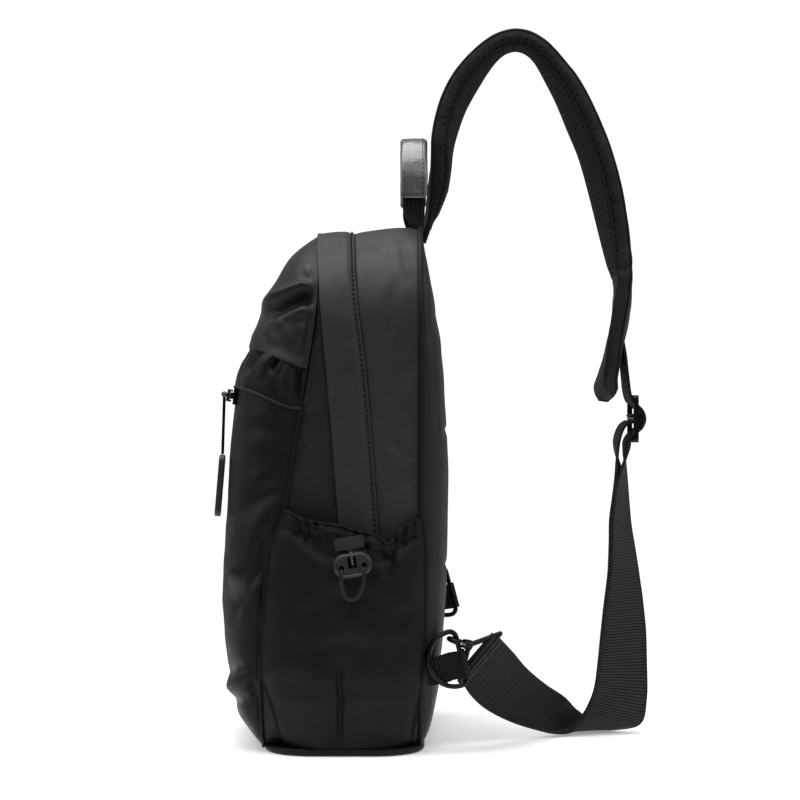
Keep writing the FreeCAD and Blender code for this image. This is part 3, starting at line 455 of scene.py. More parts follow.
def cloth_grid(name, grid, thick=1.0, flip=False):
    """A closed sheet of cloth of some thickness whose outer face is the grid."""
    rows, columns = grid.shape[:2]
    normals = grid_normals(grid) * (-1 if flip else 1)
    inside = grid - normals * thick
    points = np.concatenate([grid.reshape(-1, 3), inside.reshape(-1, 3)])
    faces = grid_faces(rows, columns)
    total = rows * columns
    back = [tuple(total + index for index in reversed(face)) for face in faces]
    rim = [row * columns for row in range(rows)]
    rim += [(rows - 1) * columns + column for column in range(1, columns)]
    rim += [row * columns + columns - 1 for row in range(rows - 2, -1, -1)]
    rim += [column for column in range(columns - 2, 0, -1)]
    sides = []
    for index, corner in enumerate(rim):
        other = rim[(index + 1) % len(rim)]
        sides.append((corner, total + corner, total + other, other))
    everything = faces + back + sides
    if not flip:
        everything = [tuple(reversed(face)) for face in everything]
    uv = grid_uv(grid)
    return mesh_object(name, points, everything, np.concatenate([uv, uv]))


def sweep(name, rings, closed=False):
    """A tube from rings of points (sections, points on a ring, 3), with flat ends unless it is closed."""
    sections, around = rings.shape[:2]
    faces = grid_faces(sections, around, closed, True)
    if not closed:
        faces.append(tuple(reversed(range(around))))
        faces.append(tuple((sections - 1) * around + index for index in range(around)))
    uv = spread_uv(run_along(rings[sections // 2]), run_along(rings.mean(1)))
    return mesh_object(name, rings.reshape(-1, 3), faces, uv)


def round_rings(path, radius, around=10, closed=False):
    """Rings of a round tube along a path. radius may be one number or one for each point."""
    path = np.asarray(path, float)
    if closed:
        along = unit(np.roll(path, -1, axis=0) - np.roll(path, 1, axis=0))
    else:
        along = unit(np.gradient(path, axis=0))
    side = np.zeros_like(path)
    guide = np.array([1.0, 0.1, 0.05]) if abs(along[0][0]) < 0.9 else np.array([0.0, 1.0, 0.1])
    for index, direction in enumerate(along):
        guide = guide - direction * guide.dot(direction)
        guide = guide / np.linalg.norm(guide)
        side[index] = guide
    other = np.cross(along, side)
    turn = np.linspace(0, 2 * math.pi, around, endpoint=False)
    radius = np.broadcast_to(np.asarray(radius, float), (len(path),))[:, None, None]
    return path[:, None] + radius * (side[:, None] * np.cos(turn)[None, :, None]
                                     + other[:, None] * np.sin(turn)[None, :, None])


def tube(name, path, radius, around=10, closed=False):
    return sweep(name, round_rings(path, radius, around, closed), closed)


def joined(name, pieces):
    """Several mesh objects as one."""
    points, faces, uvs = [], [], []
    start = 0
    for piece in pieces:
        mesh = piece.data
        points += [tuple(vertex.co / MM) for vertex in mesh.vertices]
        faces += [tuple(start + index for index in polygon.vertices) for polygon in mesh.polygons]
        spread = [(0.0, 0.0)] * len(mesh.vertices)
        layer = mesh.uv_layers.get("cloth")
        if layer:
            for loop in mesh.loops:
                spread[loop.vertex_index] = tuple(layer.data[loop.index].uv)
        uvs += spread
        start += len(mesh.vertices)
        bpy.data.objects.remove(piece)
    return mesh_object(name, points, faces, uvs)


def settle(piece, material, body="bag", stands_for=()):
    """Gives a finished piece its material, its body and the CAD nodes it replaces."""
    piece.data.materials.clear()
    piece.data.materials.append(material)
    if body:
        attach(piece, body)
    if stands_for:
        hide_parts(*stands_for)
    return piece


def stitches(name, path, normals, pitch, length, thickness, sink=0.15):
    """A row of thread stitches along a path: short rounded beads that sit in the cloth."""
    run = run_along(path)
    points, faces = [], []
    around, rows = 6, 5
    blunt = 0.12
    for start in np.arange(pitch, run[-1] - pitch, pitch):
        middle = at_run(start, run, path)
        along = unit(at_run(start + 0.5, run, path) - middle)
        out = unit(at_run(start, run, normals))
        side = np.cross(out, along)
        first = len(points)
        for row in range(rows):
            part = row / (rows - 1)
            bulge = math.sin(math.pi * (blunt + (1 - 2 * blunt) * part)) * thickness / 2
            centre = middle + along * (part - 0.5) * length + out * (bulge - sink)
            for turn in np.linspace(0, 2 * math.pi, around, endpoint=False):
                points.append(centre + side * math.cos(turn) * bulge + out * math.sin(turn) * bulge)
        faces += [tuple(first + index for index in face) for face in grid_faces(rows, around, False, True)]
        faces.append(tuple(first + index for index in reversed(range(around))))
        faces.append(tuple(first + (rows - 1) * around + index for index in range(around)))
    return mesh_object(name, np.array(points), faces, np.zeros((len(points), 2)))


def rounded_loop(half_x, half_y, radius, count):
    """A closed rounded rectangle as (x, y) points."""
    turn = np.linspace(0, math.pi / 2, 12)
    corners = []
    for quarter, (sign_x, sign_y) in enumerate(((1, 1), (-1, 1), (-1, -1), (1, -1))):
        angle = turn + quarter * math.pi / 2
        corners.append(np.stack([sign_x * (half_x - radius) + radius * np.cos(angle),
                                 sign_y * (half_y - radius) + radius * np.sin(angle)], axis=1))
    loop = np.concatenate(corners)
    return spaced(np.concatenate([loop, loop[:1]]), count, endpoint=False)


# ---------------------------------------------------------------- the elastic cord

def cord_curve(name, route, diameter):
    """A round cord along a route of points, in millimetres, as one open curve."""
    data = bpy.data.curves.new(name, "CURVE")
    data.dimensions = "3D"
    data.bevel_depth = diameter / 2 * MM
    data.bevel_resolution = 4
    data.resolution_u = 10
    data.use_fill_caps = True
    spline = data.splines.new("NURBS")
    spline.points.add(len(route) - 1)
    for point, place in zip(spline.points, route):
        point.co = (place[0] * MM, place[1] * MM, place[2] * MM, 1)
    spline.order_u = 3
    spline.use_endpoint_u = True
    return place_object(name, data)


CORD_ROUTE = [(102.8, -2.4, 110.3), (106.4, -2.6, 108.9), (107.6, -2.4, 103.4), (106.6, -1.6, 97.5),
              (105.9, 0.6, 92.6), (105.9, 5.4, 92.0), (106.6, 8.7, 96.6), (107.6, 10.4, 103.0),
              (106.4, 10.8, 110.0), (102.8, 10.6, 112.4)]
CORD_DIAMETER = 2.4


# ---------------------------------------------------------------- the bag's outlines

BODY_HALF = 85.0
FOOT_LINE = np.array([(66.0, 2.0), (75.0, 9.0), (80.0, 18.0), (83.5, 34.0), (85.0, 53.0)])
SHOULDER = 60.0
TOP_BACK = 310.5
TOP_FRONT = 305.0
SEAM_BACK = 43.0
TOP_EDGE_Y = -18.0

FRONT_SEAM = [(-49, 2), (-50, 54), (-48, 87), (-44.5, 119), (-36, 141), (-30, 177), (-22.5, 224),
              (-17, 265), (-18, 305)]
FLAP_EDGE = [(-1, 2), (-2, 90), (-6, 157), (-11, 220), (-14, 255), (-18, 305)]
FLAP_SEAM = [(21, 2), (20.5, 90), (14.7, 185), (10, 237), (6.6, 263), (3.7, 307)]
FRONT_CENTRE = [(-49, 2), (-53, 4), (-64, 16), (-71.5, 32), (-74, 53), (-76, 75), (-75.8, 107),
                (-73.5, 156), (-70.5, 200), (-69, 215)]
BACK_CENTRE = [(45, 3), (49.6, 13), (54.7, 38), (57.5, 76), (59.2, 107), (59.7, 162), (58, 204),
               (56.6, 227), (52.5, 259), (48.4, 283), (45.0, 300), (43.8, 311)]


def slope_drop(y, z):
    """How much lower the bag's top is at y than at its back, faded out down the sides."""
    part = np.clip((SEAM_BACK - y) / (SEAM_BACK - TOP_EDGE_Y), 0, 1.15)
    return (TOP_BACK - TOP_FRONT) * part * ease(150, 300, z)


def tombstone(count):
    """Points (x, z) round the bag's front outline, from the right foot over the top to the left foot."""
    turn = np.linspace(0, math.pi / 2, 24)
    arc_x = BODY_HALF - SHOULDER + SHOULDER * np.cos(turn)
    arc_z = TOP_BACK - SHOULDER + SHOULDER * np.sin(turn)
    right = np.concatenate([FOOT_LINE, np.stack([arc_x, arc_z], axis=1)])
    return spaced(np.concatenate([right, right[::-1] * [-1, 1]]), count)


def half_width(z, y):
    """The bag's half width at height z and depth y."""
    up = z + slope_drop(y, z)
    low = np.interp(up, FOOT_LINE[:, 1], FOOT_LINE[:, 0])
    rise = np.clip(up - (TOP_BACK - SHOULDER), 0, SHOULDER)
    round_top = BODY_HALF - SHOULDER + np.sqrt(np.maximum(SHOULDER ** 2 - rise ** 2, 0))
    return np.where(up > TOP_BACK - SHOULDER, round_top, low)


def wrinkle(points, scale, depth, seed):
    """Soft uneven height in millimetres for each point, from smooth noise."""
    flat = points.reshape(-1, 3) / scale + seed * 17.3
    values = [noise.noise(Vector(point)) + 0.5 * noise.noise(Vector(point) * 2.1) for point in flat]
    return (np.array(values) * depth).reshape(points.shape[:-1])


def to_line(y, z, line):
    """Distance from each (y, z) to a polyline and how far along it the nearest point is, 0 to 1."""
    line = np.array(line, float)
    best = np.full(y.shape, 1e9)
    along = np.zeros(y.shape)
    lengths = np.linalg.norm(np.diff(line, axis=0), axis=1)
    total = lengths.sum()
    before = 0.0
    for start, end, length in zip(line, line[1:], lengths):
        run = (end - start) / length
        reach = np.clip((y - start[0]) * run[0] + (z - start[1]) * run[1], 0, length)
        gap = np.hypot(y - start[0] - run[0] * reach, z - start[1] - run[1] * reach)
        nearer = gap < best
        best = np.where(nearer, gap, best)
        along = np.where(nearer, (before + reach) / total, along)
        before += length
    return best, along


def folds(y, z, lines):
    """Creases and ridges along (y, z) lines: each is (points, height, width), height negative for a crease.
    A fold swells from nothing at its ends, and a crease has a soft ridge on both sides."""
    total = np.zeros(y.shape)
    for line, height, width in lines:
        gap, along = to_line(y, z, line)
        fade = np.clip(np.minimum(along, 1 - along) * 5, 0.12, 1)
        core = bell(gap, width)
        beside = bell(gap - 2.1 * width, 1.1 * width)
        total += height * fade * (core - 0.35 * beside)
    return total


def grid_folds(grid, lines):
    """Folds for each point of a grid."""
    return folds(grid[..., 1], grid[..., 2], lines)


def faces_in(grid):
    """Whether a grid's own normals point at the bag's middle."""
    return ((grid - [0, 0, 150.0]) * grid_normals(grid)).sum() < 0


def swell(grid, amount):
    """Moves a grid's points along their normals, away from the bag's middle."""
    return grid + grid_normals(grid) * (-1 if faces_in(grid) else 1) * amount[..., None]


def outer_sheet(name, grid, thick):
    """A closed sheet whose outer face is the grid, facing away from the bag's middle."""
    return cloth_grid(name, grid, thick, flip=faces_in(grid))


def from_edge(columns):
    """How many columns away the nearer edge of a grid is, for each column."""
    count = np.arange(columns)
    return np.minimum(count, count[::-1])


def even_columns(grid):
    """The same grid with each row's points spread evenly along it."""
    return np.stack([spaced(row, len(row)) for row in grid])


def bow(columns, power):
    """How far sideways, -1 to 1, and how far out, 0 to 1, each column of a rounded face stands."""
    across = np.linspace(-math.pi / 2, math.pi / 2, columns)
    sideways = np.sign(np.sin(across)) * np.abs(np.sin(across)) ** (2 / power)
    return sideways, np.abs(np.cos(across)) ** (2 / power)


# ---------------------------------------------------------------- gussets and storm flap

GUSSET_ROWS = 330


def gusset(near, far, columns):
    """A grid round the bag between two seam lines, and where each of its columns is, from 0 to 1."""
    outline = tombstone(GUSSET_ROWS)
    part = np.linspace(0, 1, columns)[None, :]
    height = outline[:, 1:]
    y_near = line_at(near, height)
    y_far = np.full(height.shape, SEAM_BACK) if far is None else line_at(far, height)
    y = y_near + (y_far - y_near) * part
    z = height - slope_drop(y, height)
    x = np.broadcast_to(outline[:, :1], y.shape)
    return np.stack([x, y, z], axis=-1), part


REAR_FOLDS = [([(30, 280), (26, 262), (24, 240)], -0.9, 3.0),
              ([(38, 230), (30, 214), (22, 205)], -0.8, 3.5),
              ([(24, 186), (32, 176), (40, 172)], -0.9, 3.0),
              ([(22, 150), (30, 158), (40, 160)], -0.7, 3.5),
              ([(33, 300), (34, 285), (38, 270)], -0.8, 2.5)]
grid, part = gusset(FLAP_SEAM, None, 34)
tuck = np.minimum(part, 1 - part)
amount = 0.9 * np.sin(np.pi * part) - 0.35 * bell(tuck, 0.03)
amount = amount + wrinkle(grid, 34, 0.9, 1) * np.clip(tuck * 6, 0, 1)
rear = outer_sheet("rear_gusset_cloth", swell(grid, amount + grid_folds(grid, REAR_FOLDS)), 1.2)
settle(rear, NYLON_PAINTED_LIT_GUSSET, "bag", ("rear_gusset", "back_panel_lining"))

FLANK_FOLDS = [([(-33, 170), (-26, 178), (-14, 190)], -0.8, 3.0),
               ([(-28, 196), (-20, 206), (-12, 210)], -0.7, 2.6),
               ([(-22, 236), (-17, 248), (-14, 262)], -0.6, 2.4),
               ([(-36, 152), (-24, 160), (-10, 164)], -0.7, 3.0)]
grid, part = gusset(FRONT_SEAM, FLAP_EDGE, 26)
tuck = np.minimum(part, 1 - part)
amount = -1.0 + 0.7 * np.sin(np.pi * part) + wrinkle(grid, 26, 0.9, 2) * np.clip(tuck * 6, 0, 1)
front_side = outer_sheet("front_gusset_cloth", swell(grid, amount + grid_folds(grid, FLANK_FOLDS)), 1.2)
settle(front_side, NYLON_PAINTED_HALF_SHADED, "bag", ("front_gusset", "front_divider", "inner_pocket"))

# The storm flap's folded hem lies over the front gusset, and its other edge is its seam.
FLAP_OVER = [(y - 0.4, z) for y, z in FLAP_EDGE]
grid, part = gusset(FLAP_OVER, FLAP_SEAM, 26)
amount = 1.2 - 1.2 * ease(0.75, 0.97, part) + 0.5 * bell(part, 0.10) + 0.5 * np.sin(np.pi * part)
amount = amount + wrinkle(grid, 30, 0.8, 3) * np.clip((1 - part) * 5, 0, 1)
flap_grid = swell(grid, amount)
flap = outer_sheet("storm_flap_cloth", flap_grid, 1.3)
settle(flap, NYLON_PAINTED_LIT_GUSSET, "bag", ("storm_flap", "main_zipper_tape"))

# The flap's topstitch runs just in front of its seam. Its stitches face sideways, and upwards over the top.
line = flap_grid[:, 23]
flat_out = unit(np.stack([line[:, 0], np.zeros(len(line)), np.clip(line[:, 2] - 247, 0, 60)], axis=1))
topstitch = stitches("flap_topstitch", line, flat_out, 3.0, 2.0, 1.25, 0.05)
settle(topstitch, DARK_THREAD)


# ---------------------------------------------------------------- the front: flap, gathered band, pocket

def front_wrap(centre, side_rows, middle_rows, columns, power, window=None):
    """A grid round the bag's front from the seam on one flank to the seam on the other.
    side_rows are the rows' heights at the seams and middle_rows their heights at the middle of the front.
    window is (half width, height): between the two half widths the rows end at that height."""
    sideways, forward = bow(columns, power)
    z = side_rows[:, None] + (middle_rows - side_rows)[:, None] * ease(0, 1, forward)
    if window:
        half, height = window
        inside = 1 - ease(half - 1.5, half + 1.5, np.abs(sideways) * BODY_HALF)
        late = ease(0.6, 1.0, np.linspace(0, 1, len(side_rows)))[:, None]
        z = z - (z[-1:] - height) * inside * late
    back = line_at(FRONT_SEAM, z)
    front = line_at(centre, z)
    return np.stack([half_width(z, back) * sideways, back + (front - back) * forward, z], axis=-1)


# Front pocket panel: a smooth bulge with long folds, open at the zipper.
PANEL_FOLDS = [([(-41.9, 135), (-50.3, 110), (-66.6, 87), (-70.2, 71)], -3.2, 4.5),
               ([(-70.8, 34), (-62, 42), (-54.5, 49)], 3.0, 3.4),
               ([(-70, 24), (-60, 33), (-51, 41)], -3.0, 4.0),
               ([(-52, 92), (-60, 102), (-70, 108)], 1.6, 6.0),
               ([(-36, 158), (-50, 150), (-68, 136)], -1.8, 5.0),
               ([(-36, 186), (-48, 190), (-62, 188)], -0.8, 4.0)]
PANEL_COLUMNS = 460
ZIPPER_HALF = 49.0
foot_rows = np.linspace(2.5, 20, 16)
side_rows = np.concatenate([foot_rows, np.linspace(21.5, 201.5, 120)])
middle_rows = np.concatenate([foot_rows, np.linspace(21.5, 215, 120)])
grid = front_wrap(FRONT_CENTRE, side_rows, middle_rows, PANEL_COLUMNS, 2.8, (ZIPPER_HALF, 204.0))
edge = from_edge(PANEL_COLUMNS) / 12
amount = (wrinkle(grid, 38, 1.0, 4) + grid_folds(grid, PANEL_FOLDS)) * np.clip(edge, 0, 1)
panel = outer_sheet("front_panel_cloth", swell(grid, amount - 0.9 * np.exp(-edge ** 2 * 3)), 1.4)
settle(panel, NYLON_PAINTED_SHADED_PANEL, "bag", ("front_panel",))

# The welt in the front panel's seam, down each flank.
for side, name, column in ((1, "right", -1), (-1, "left", 0)):
    cord = tube("front_seam_%s" % name, smooth_curve(grid[:, column] + [0.3 * side, -0.2, 0], 220), 1.0, 8)
    settle(cord, WELT)

# Gathered band over the zipper: pleats fan down from under the flap.
BAND_CENTRE = [(-69, 213.5), (-68.4, 216), (-66, 222), (-62.5, 229), (-58, 236.5), (-56, 240)]
BAND_PLEATS = [([(-50, 235), (-54, 229), (-58.5, 221.5)], -3.2, 1.7),
               ([(-39.5, 231.5), (-41.5, 227), (-43.8, 223)], -3.0, 1.6),
               ([(-27, 226), (-28, 216), (-28.8, 203)], -2.6, 1.8),
               ([(-33, 230), (-35, 220), (-36.5, 208)], 1.4, 3.0),
               ([(-45, 233), (-48, 226), (-51, 217)], 1.2, 2.2)]
BAND_COLUMNS = 400
side_rows = np.linspace(200.5, 226, 34)
grid = even_columns(front_wrap(BAND_CENTRE, side_rows, side_rows + 13, BAND_COLUMNS, 3.0))
down = np.linspace(0, 1, len(side_rows))[:, None]
amount = 1.6 * np.sin(np.pi * (down * 0.8 + 0.1)) + wrinkle(grid, 16, 0.8, 5) + grid_folds(grid, BAND_PLEATS)
x = grid[..., 0]
to_flank = np.abs(x) / half_width(grid[..., 2], grid[..., 1])
gathers = 0.8 * np.sin(x * 0.4 + 2 * np.sin(x * 0.13)) * (1 - ease(0.7, 0.95, to_flank))
held = np.clip(from_edge(BAND_COLUMNS) / 10, 0, 1)
band_grid = swell(grid, (amount + gathers * down) * held)
band = outer_sheet("gathered_band_cloth", band_grid, 1.3)
settle(band, NYLON_PAINTED_SHADED_PANEL, "bag", ("gathered_band",))
# The band's hem takes the lighter flank copy of the nylon, a painted highlight along the band's lower edge.
band_hem = tube("gathered_band_hem", smooth_curve(band_grid[0] + [0, 0, 0.4], BAND_COLUMNS), 0.9, 8)
settle(band_hem, NYLON_PAINTED_HALF_SHADED)

# Top flap: slopes down from the top edge to a ridge, is hollow below it, and ends in an overhanging edge.
FLAP_CENTRE = [(-58.5, 236), (-60, 240), (-59.4, 244), (-55.5, 252), (-53.5, 258), (-51.5, 267),
               (-45, 277), (-37, 291), (-27, 299.5), (-18.5, 305)]
FLAP_RIDGE = [([(-16.5, 270.5), (-25.4, 272), (-35.6, 268.5), (-42, 266.5), (-49, 264)], 2.4, 2.4),
              ([(-24, 284), (-21, 278), (-18, 271)], 0.9, 1.6),
              ([(-30, 238), (-36, 246), (-40, 254)], 0.8, 2.6)]
FLAP_HOLLOW = [([(-16.5, 264), (-26, 265), (-36, 261), (-43, 258), (-49, 255)], -5.8, 3.4),
               ([(-22, 252), (-32, 254), (-40, 250)], -1.2, 3.0),
               ([(-53, 250), (-48, 242), (-46, 236)], -1.0, 2.6),
               ([(-20.5, 262), (-23, 246), (-27, 228)], -1.3, 1.0)]
side_rows = np.concatenate([np.linspace(224.5, 236, 14), np.linspace(237.5, 304.8, 50)])
middle_rows = np.concatenate([np.linspace(236.5, 246, 14), np.linspace(247, 304.8, 50)])
grid = even_columns(front_wrap(FLAP_CENTRE, side_rows, middle_rows, BAND_COLUMNS, 2.9))
fade = 1 - ease(292, 303, grid[..., 2])
lip = 2.2 * bell(np.arange(len(side_rows)), 5.0)[:, None]
amount = (grid_folds(grid, FLAP_RIDGE + FLAP_HOLLOW) + wrinkle(grid, 28, 1.1, 6)) * fade + lip
top = outer_sheet("top_flap_cloth", swell(grid, amount * held + 0.3), 1.8)
settle(top, NYLON_PAINTED_LIT_FLAP, "bag", ("top_flap",))

# ---------------------------------------------------------------- front zipper

tape_z = np.linspace(203.3, 214.2, 10)[:, None]
tape_x = np.linspace(-ZIPPER_HALF, ZIPPER_HALF, 60)
tape_grid = np.stack(np.broadcast_arrays(tape_x, line_at(FRONT_CENTRE, tape_z) + 1.2, tape_z), axis=-1)
tape = outer_sheet("front_zipper_tape_cloth", tape_grid, 0.8)
settle(tape, TAPE, "bag", ("front_zipper_tape",))

# Two rows of small oval teeth that lean with the panel and take turns above and below the middle line.
TOOTH_PITCH = 1.15
TOOTH_AROUND = 8
low, high = node_box("front_zipper_chain")
slope = unit(np.array([0, 2, 10]))
out = np.array([0, -slope[2], slope[1]])
turn = np.linspace(0, 2 * math.pi, TOOTH_AROUND, endpoint=False)[:, None]
oval = slope * 1.6 * np.cos(turn) + out * 0.75 * np.sin(turn)
points, faces = [], []
for index, x in enumerate(np.arange(low[0], high[0], TOOTH_PITCH)):
    centre = np.array([x, *(low[1:] + high[1:]) / 2]) + slope * (0.45 if index % 2 else -0.45)
    first = len(points)
    for shift, size in ((-0.5, 0.75), (-0.3, 1.0), (0.3, 1.0), (0.5, 0.75)):
        points += list(centre + oval * size + [shift, 0, 0])
    faces += [tuple(first + number for number in face) for face in grid_faces(4, TOOTH_AROUND, False, True)]
    faces.append(tuple(first + number for number in reversed(range(TOOTH_AROUND))))
    faces.append(tuple(first + 3 * TOOTH_AROUND + number for number in range(TOOTH_AROUND)))
chain = mesh_object("front_zipper_teeth", np.array(points), faces, np.zeros((len(points), 2)))
settle(chain, COIL, "bag", ("front_zipper_chain",))


# ---------------------------------------------------------------- base and back seam

def at_height(loop, height):
    """A level loop of (x, y) points at some height."""
    return np.concatenate([loop, np.full((len(loop), 1), height)], axis=1)


foot = rounded_loop(88.0, 44.9, 26, 260) + [0, -1.6]
welt = tube("base_welt", at_height(foot, 2.3), 2.2, 10, closed=True)
settle(welt, WELT, "bag", ("base_piping",))

# The base cloth from the middle of its underside round its edge to the middle of its top: (size, height).
BASE_RINGS = [(0.05, 0.2), (0.6, 0.2), (0.97, 0.2), (1.0, 0.3), (1.0, 2.0), (0.97, 3.2), (0.6, 3.4),
              (0.05, 3.4)]
floor_cloth = sweep("base_cloth", np.array([at_height(foot * size, height) for size, height in BASE_RINGS]))
settle(floor_cloth, WELT, "bag", ("base_panel",))

outline = tombstone(420)
piping_line = np.stack([outline[:, 0] * 1.004, np.full(len(outline), SEAM_BACK), outline[:, 1] + 0.4], axis=1)
piping = tube("back_seam_piping", piping_line, 1.7, 10)
settle(piping, WELT, "bag", ("back_piping",))

# ---------------------------------------------------------------- padded back panel

BACK_FOLDS = [([(47, 30), (52, 44), (54, 60)], -0.8, 3.0), ([(46, 236), (50, 246), (53, 262)], -0.7, 3.0)]
# Channels sewn through the padding, each (line, depth, width), the lines as (x, z).
CHANNELS = [([(-26, 40), (-26, 262)], 3.2, 5.0), ([(26, 40), (26, 262)], 3.2, 5.0),
            ([(-70, 108), (70, 108)], 1.2, 2.0), ([(-70, 188), (70, 188)], 1.2, 2.0)]
z = np.concatenate([np.linspace(4, 24, 12), np.linspace(27, 286, 110), np.linspace(288, 310.2, 26)])[:, None]
sideways, outward = bow(200, 4.2)
seam_y = SEAM_BACK + 0.6
x = (half_width(z, np.full(z.shape, SEAM_BACK)) - 1.2) * sideways
y = seam_y + (line_at(BACK_CENTRE, z) - seam_y) * outward
back_grid = even_columns(np.stack(np.broadcast_arrays(x, y, z), axis=-1))
amount = wrinkle(back_grid, 40, 0.8, 8) + grid_folds(back_grid, BACK_FOLDS)
for line, depth, width in CHANNELS:
    amount -= depth * bell(to_line(back_grid[..., 0], back_grid[..., 2], line)[0], width)
back_panel = outer_sheet("back_panel_cloth", swell(back_grid, amount), 2.0)
settle(back_panel, BACK, "bag", ("back_panel_cover", "back_panel_foam"))

# ---------------------------------------------------------------- side pockets

POCKET_TOP = [(-37, 140), (-35, 141.5), (-28, 138), (-22, 136), (-12, 134.5), (-3, 133), (7, 129.8),
              (16.5, 128), (24.6, 123), (31, 130), (38, 135), (44, 137)]
POCKET_FRONT = [(-37, 3), (-40.5, 16), (-44, 30), (-49.5, 48), (-50, 60), (-48, 87), (-44.5, 119),
                (-37, 140)]
POCKET_REAR = [(37.4, 3), (40, 21), (43, 37), (45.4, 60), (45.8, 86), (45.6, 123), (44, 137)]
POCKET_FOLDS = [
    ([(-3.0, 3), (-3.8, 18), (-3.0, 34), (-4.2, 46), (-0.5, 60)], -1.5, 1.4),
    ([(-3.4, 3), (-4, 34), (-0.5, 60)], -2.2, 7.0),
    ([(-3, 56), (-15, 34), (-28, 8)], 1.2, 6.0),
    ([(0, 56), (13, 34), (26, 8)], 0.9, 6.0),
    ([(-4, 60), (-18, 68), (-38, 66)], -1.0, 7.0),
    ([(2, 58), (18, 66), (38, 60)], -1.0, 7.0),
    ([(-2, 112), (-16, 122), (-34, 136)], -2.6, 4.0),
    ([(12, 110), (24, 118), (40, 132)], -2.4, 4.0),
    ([(2, 98), (-10, 86), (-34, 78)], -2.0, 7.0),
    ([(6, 98), (18, 86), (38, 76)], -1.8, 7.0),
    ([(22, 122), (25, 112), (26, 102)], -1.8, 2.6)]
POCKET_LOW = 3.5


def pocket_grid(side, seed, rows=130, columns=110):
    """The outer face of a side pocket, from its foot to its gathered mouth."""
    up = np.linspace(0, 1, rows)[:, None]
    across = np.linspace(0, 1, columns)[None, :]
    z = POCKET_LOW + (140 - POCKET_LOW) * up + 0 * across
    for _ in range(3):
        y = line_at(POCKET_FRONT, z) * (1 - across) + line_at(POCKET_REAR, z) * across
        mouth = line_at([(height, y_at) for y_at, height in POCKET_TOP], y)
        z = POCKET_LOW + (mouth - POCKET_LOW) * up
    body = half_width(z, y)
    reach = np.interp(z, [3, 9, 20, 45, 88, 110, 126, 142], [21, 15, 13, 13.3, 13.5, 12, 9.5, 8])
    edge = np.clip(1 - np.abs(2 * across - 1) ** 3.4, 0, 1) ** 0.62
    x = body + 0.5 + reach * edge
    grid = np.stack([x, y, z], axis=-1)
    below_mouth = (1 - up) * 132
    gathers = 1.17 * np.sin(y * 0.9 + 1.5 * np.sin(y * 0.23 + seed)) * bell((1 - up) * 20, 1.4)
    roll = 1.2 * bell(below_mouth - 4, 3.0) - 1.1 * bell(below_mouth - 9, 1.8)
    uneven = folds(y, z, POCKET_FOLDS) * np.clip(edge * 1.5, 0, 1)
    uneven = uneven + wrinkle(grid, 36, 1.5, seed) * np.clip(edge * 1.4, 0, 1)
    uneven = uneven + (gathers + roll) * np.clip(edge * 2, 0, 1)
    grid[..., 0] = np.maximum(x + uneven, body + 0.5)
    return grid * [side, 1, 1]


for side, name, seed in ((1, "right", 11), (-1, "left", 14)):
    grid = pocket_grid(side, seed)
    flip = (grid_normals(grid)[..., 0] * side).sum() < 0
    pocket = cloth_grid("side_pocket_%s_cloth" % name, grid, 1.3, flip)
    settle(pocket, NYLON_PAINTED_SHADED_POUCH, "bag", ("side_pocket_%s" % name,))
    hem = tube("pocket_hem_%s" % name, smooth_curve(grid[-1] + [side * -0.4, 0, 0.3], 260), 1.05, 8)
    settle(hem, NYLON_PAINTED_SHADED_POUCH)
    for label, line in (("front", grid[:, 0]), ("rear", grid[:, -1])):
        bead_line = smooth_curve(line[6:] + [side * 0.3, 0, 0], 150)
        bead = tube("pocket_%s_welt_%s" % (label, name), bead_line, 0.9, 8)
        settle(bead, WELT)

# ---------------------------------------------------------------- the cord lock's cord

cord = cord_curve("elastic_cord_loop", CORD_ROUTE, CORD_DIAMETER)
settle(cord, ELASTIC, "bag", ("elastic_cord",))

# ---------------------------------------------------------------- the cord lock's rim and spring

LOCK_LEAN = math.radians(9)
LOCK_ACROSS = np.array([0, math.cos(LOCK_LEAN), math.sin(LOCK_LEAN)])
LOCK_UP = np.array([0, -math.sin(LOCK_LEAN), math.cos(LOCK_LEAN)])
lock_low, lock_high = node_box("cord_lock_body")
lock_centre = (lock_low + lock_high) / 2
rim_loop = rounded_loop(10.1, 5.9, 5.6, 64)
rim_line = lock_centre + rim_loop[:, :1] * LOCK_ACROSS + rim_loop[:, 1:] * LOCK_UP
rim_line[:, 0] = lock_high[0] - 0.1
rim = tube("cord_lock_rim", rim_line, 0.85, 8, closed=True)
settle(rim, LOCK)

SPRING_TURNS = 6
SPRING_LENGTH = 10.0
SPRING_RADIUS = 1.6
spring_foot = lock_centre - LOCK_UP * 1.2
turn = np.linspace(0, 2 * math.pi * SPRING_TURNS, 24 * SPRING_TURNS + 1)[:, None]
round_axis = (np.array([1.0, 0, 0]) * np.cos(turn) + LOCK_ACROSS * np.sin(turn)) * SPRING_RADIUS
spring = tube("cord_lock_coil", spring_foot + LOCK_UP * turn / turn[-1] * SPRING_LENGTH + round_axis, 0.3, 8)
settle(spring, STEEL, None, ("cord_lock_spring",))
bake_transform(spring)

# ---------------------------------------------------------------- top handle

HANDLE_Y = 39.4
HANDLE_FOOT = 38.0
HANDLE_TOP = 363.5
HANDLE_BEND = 26.0
GRIP_LOW = 327.5
GRIP_ROWS = 150
GRIP_WIDTH = 16.4

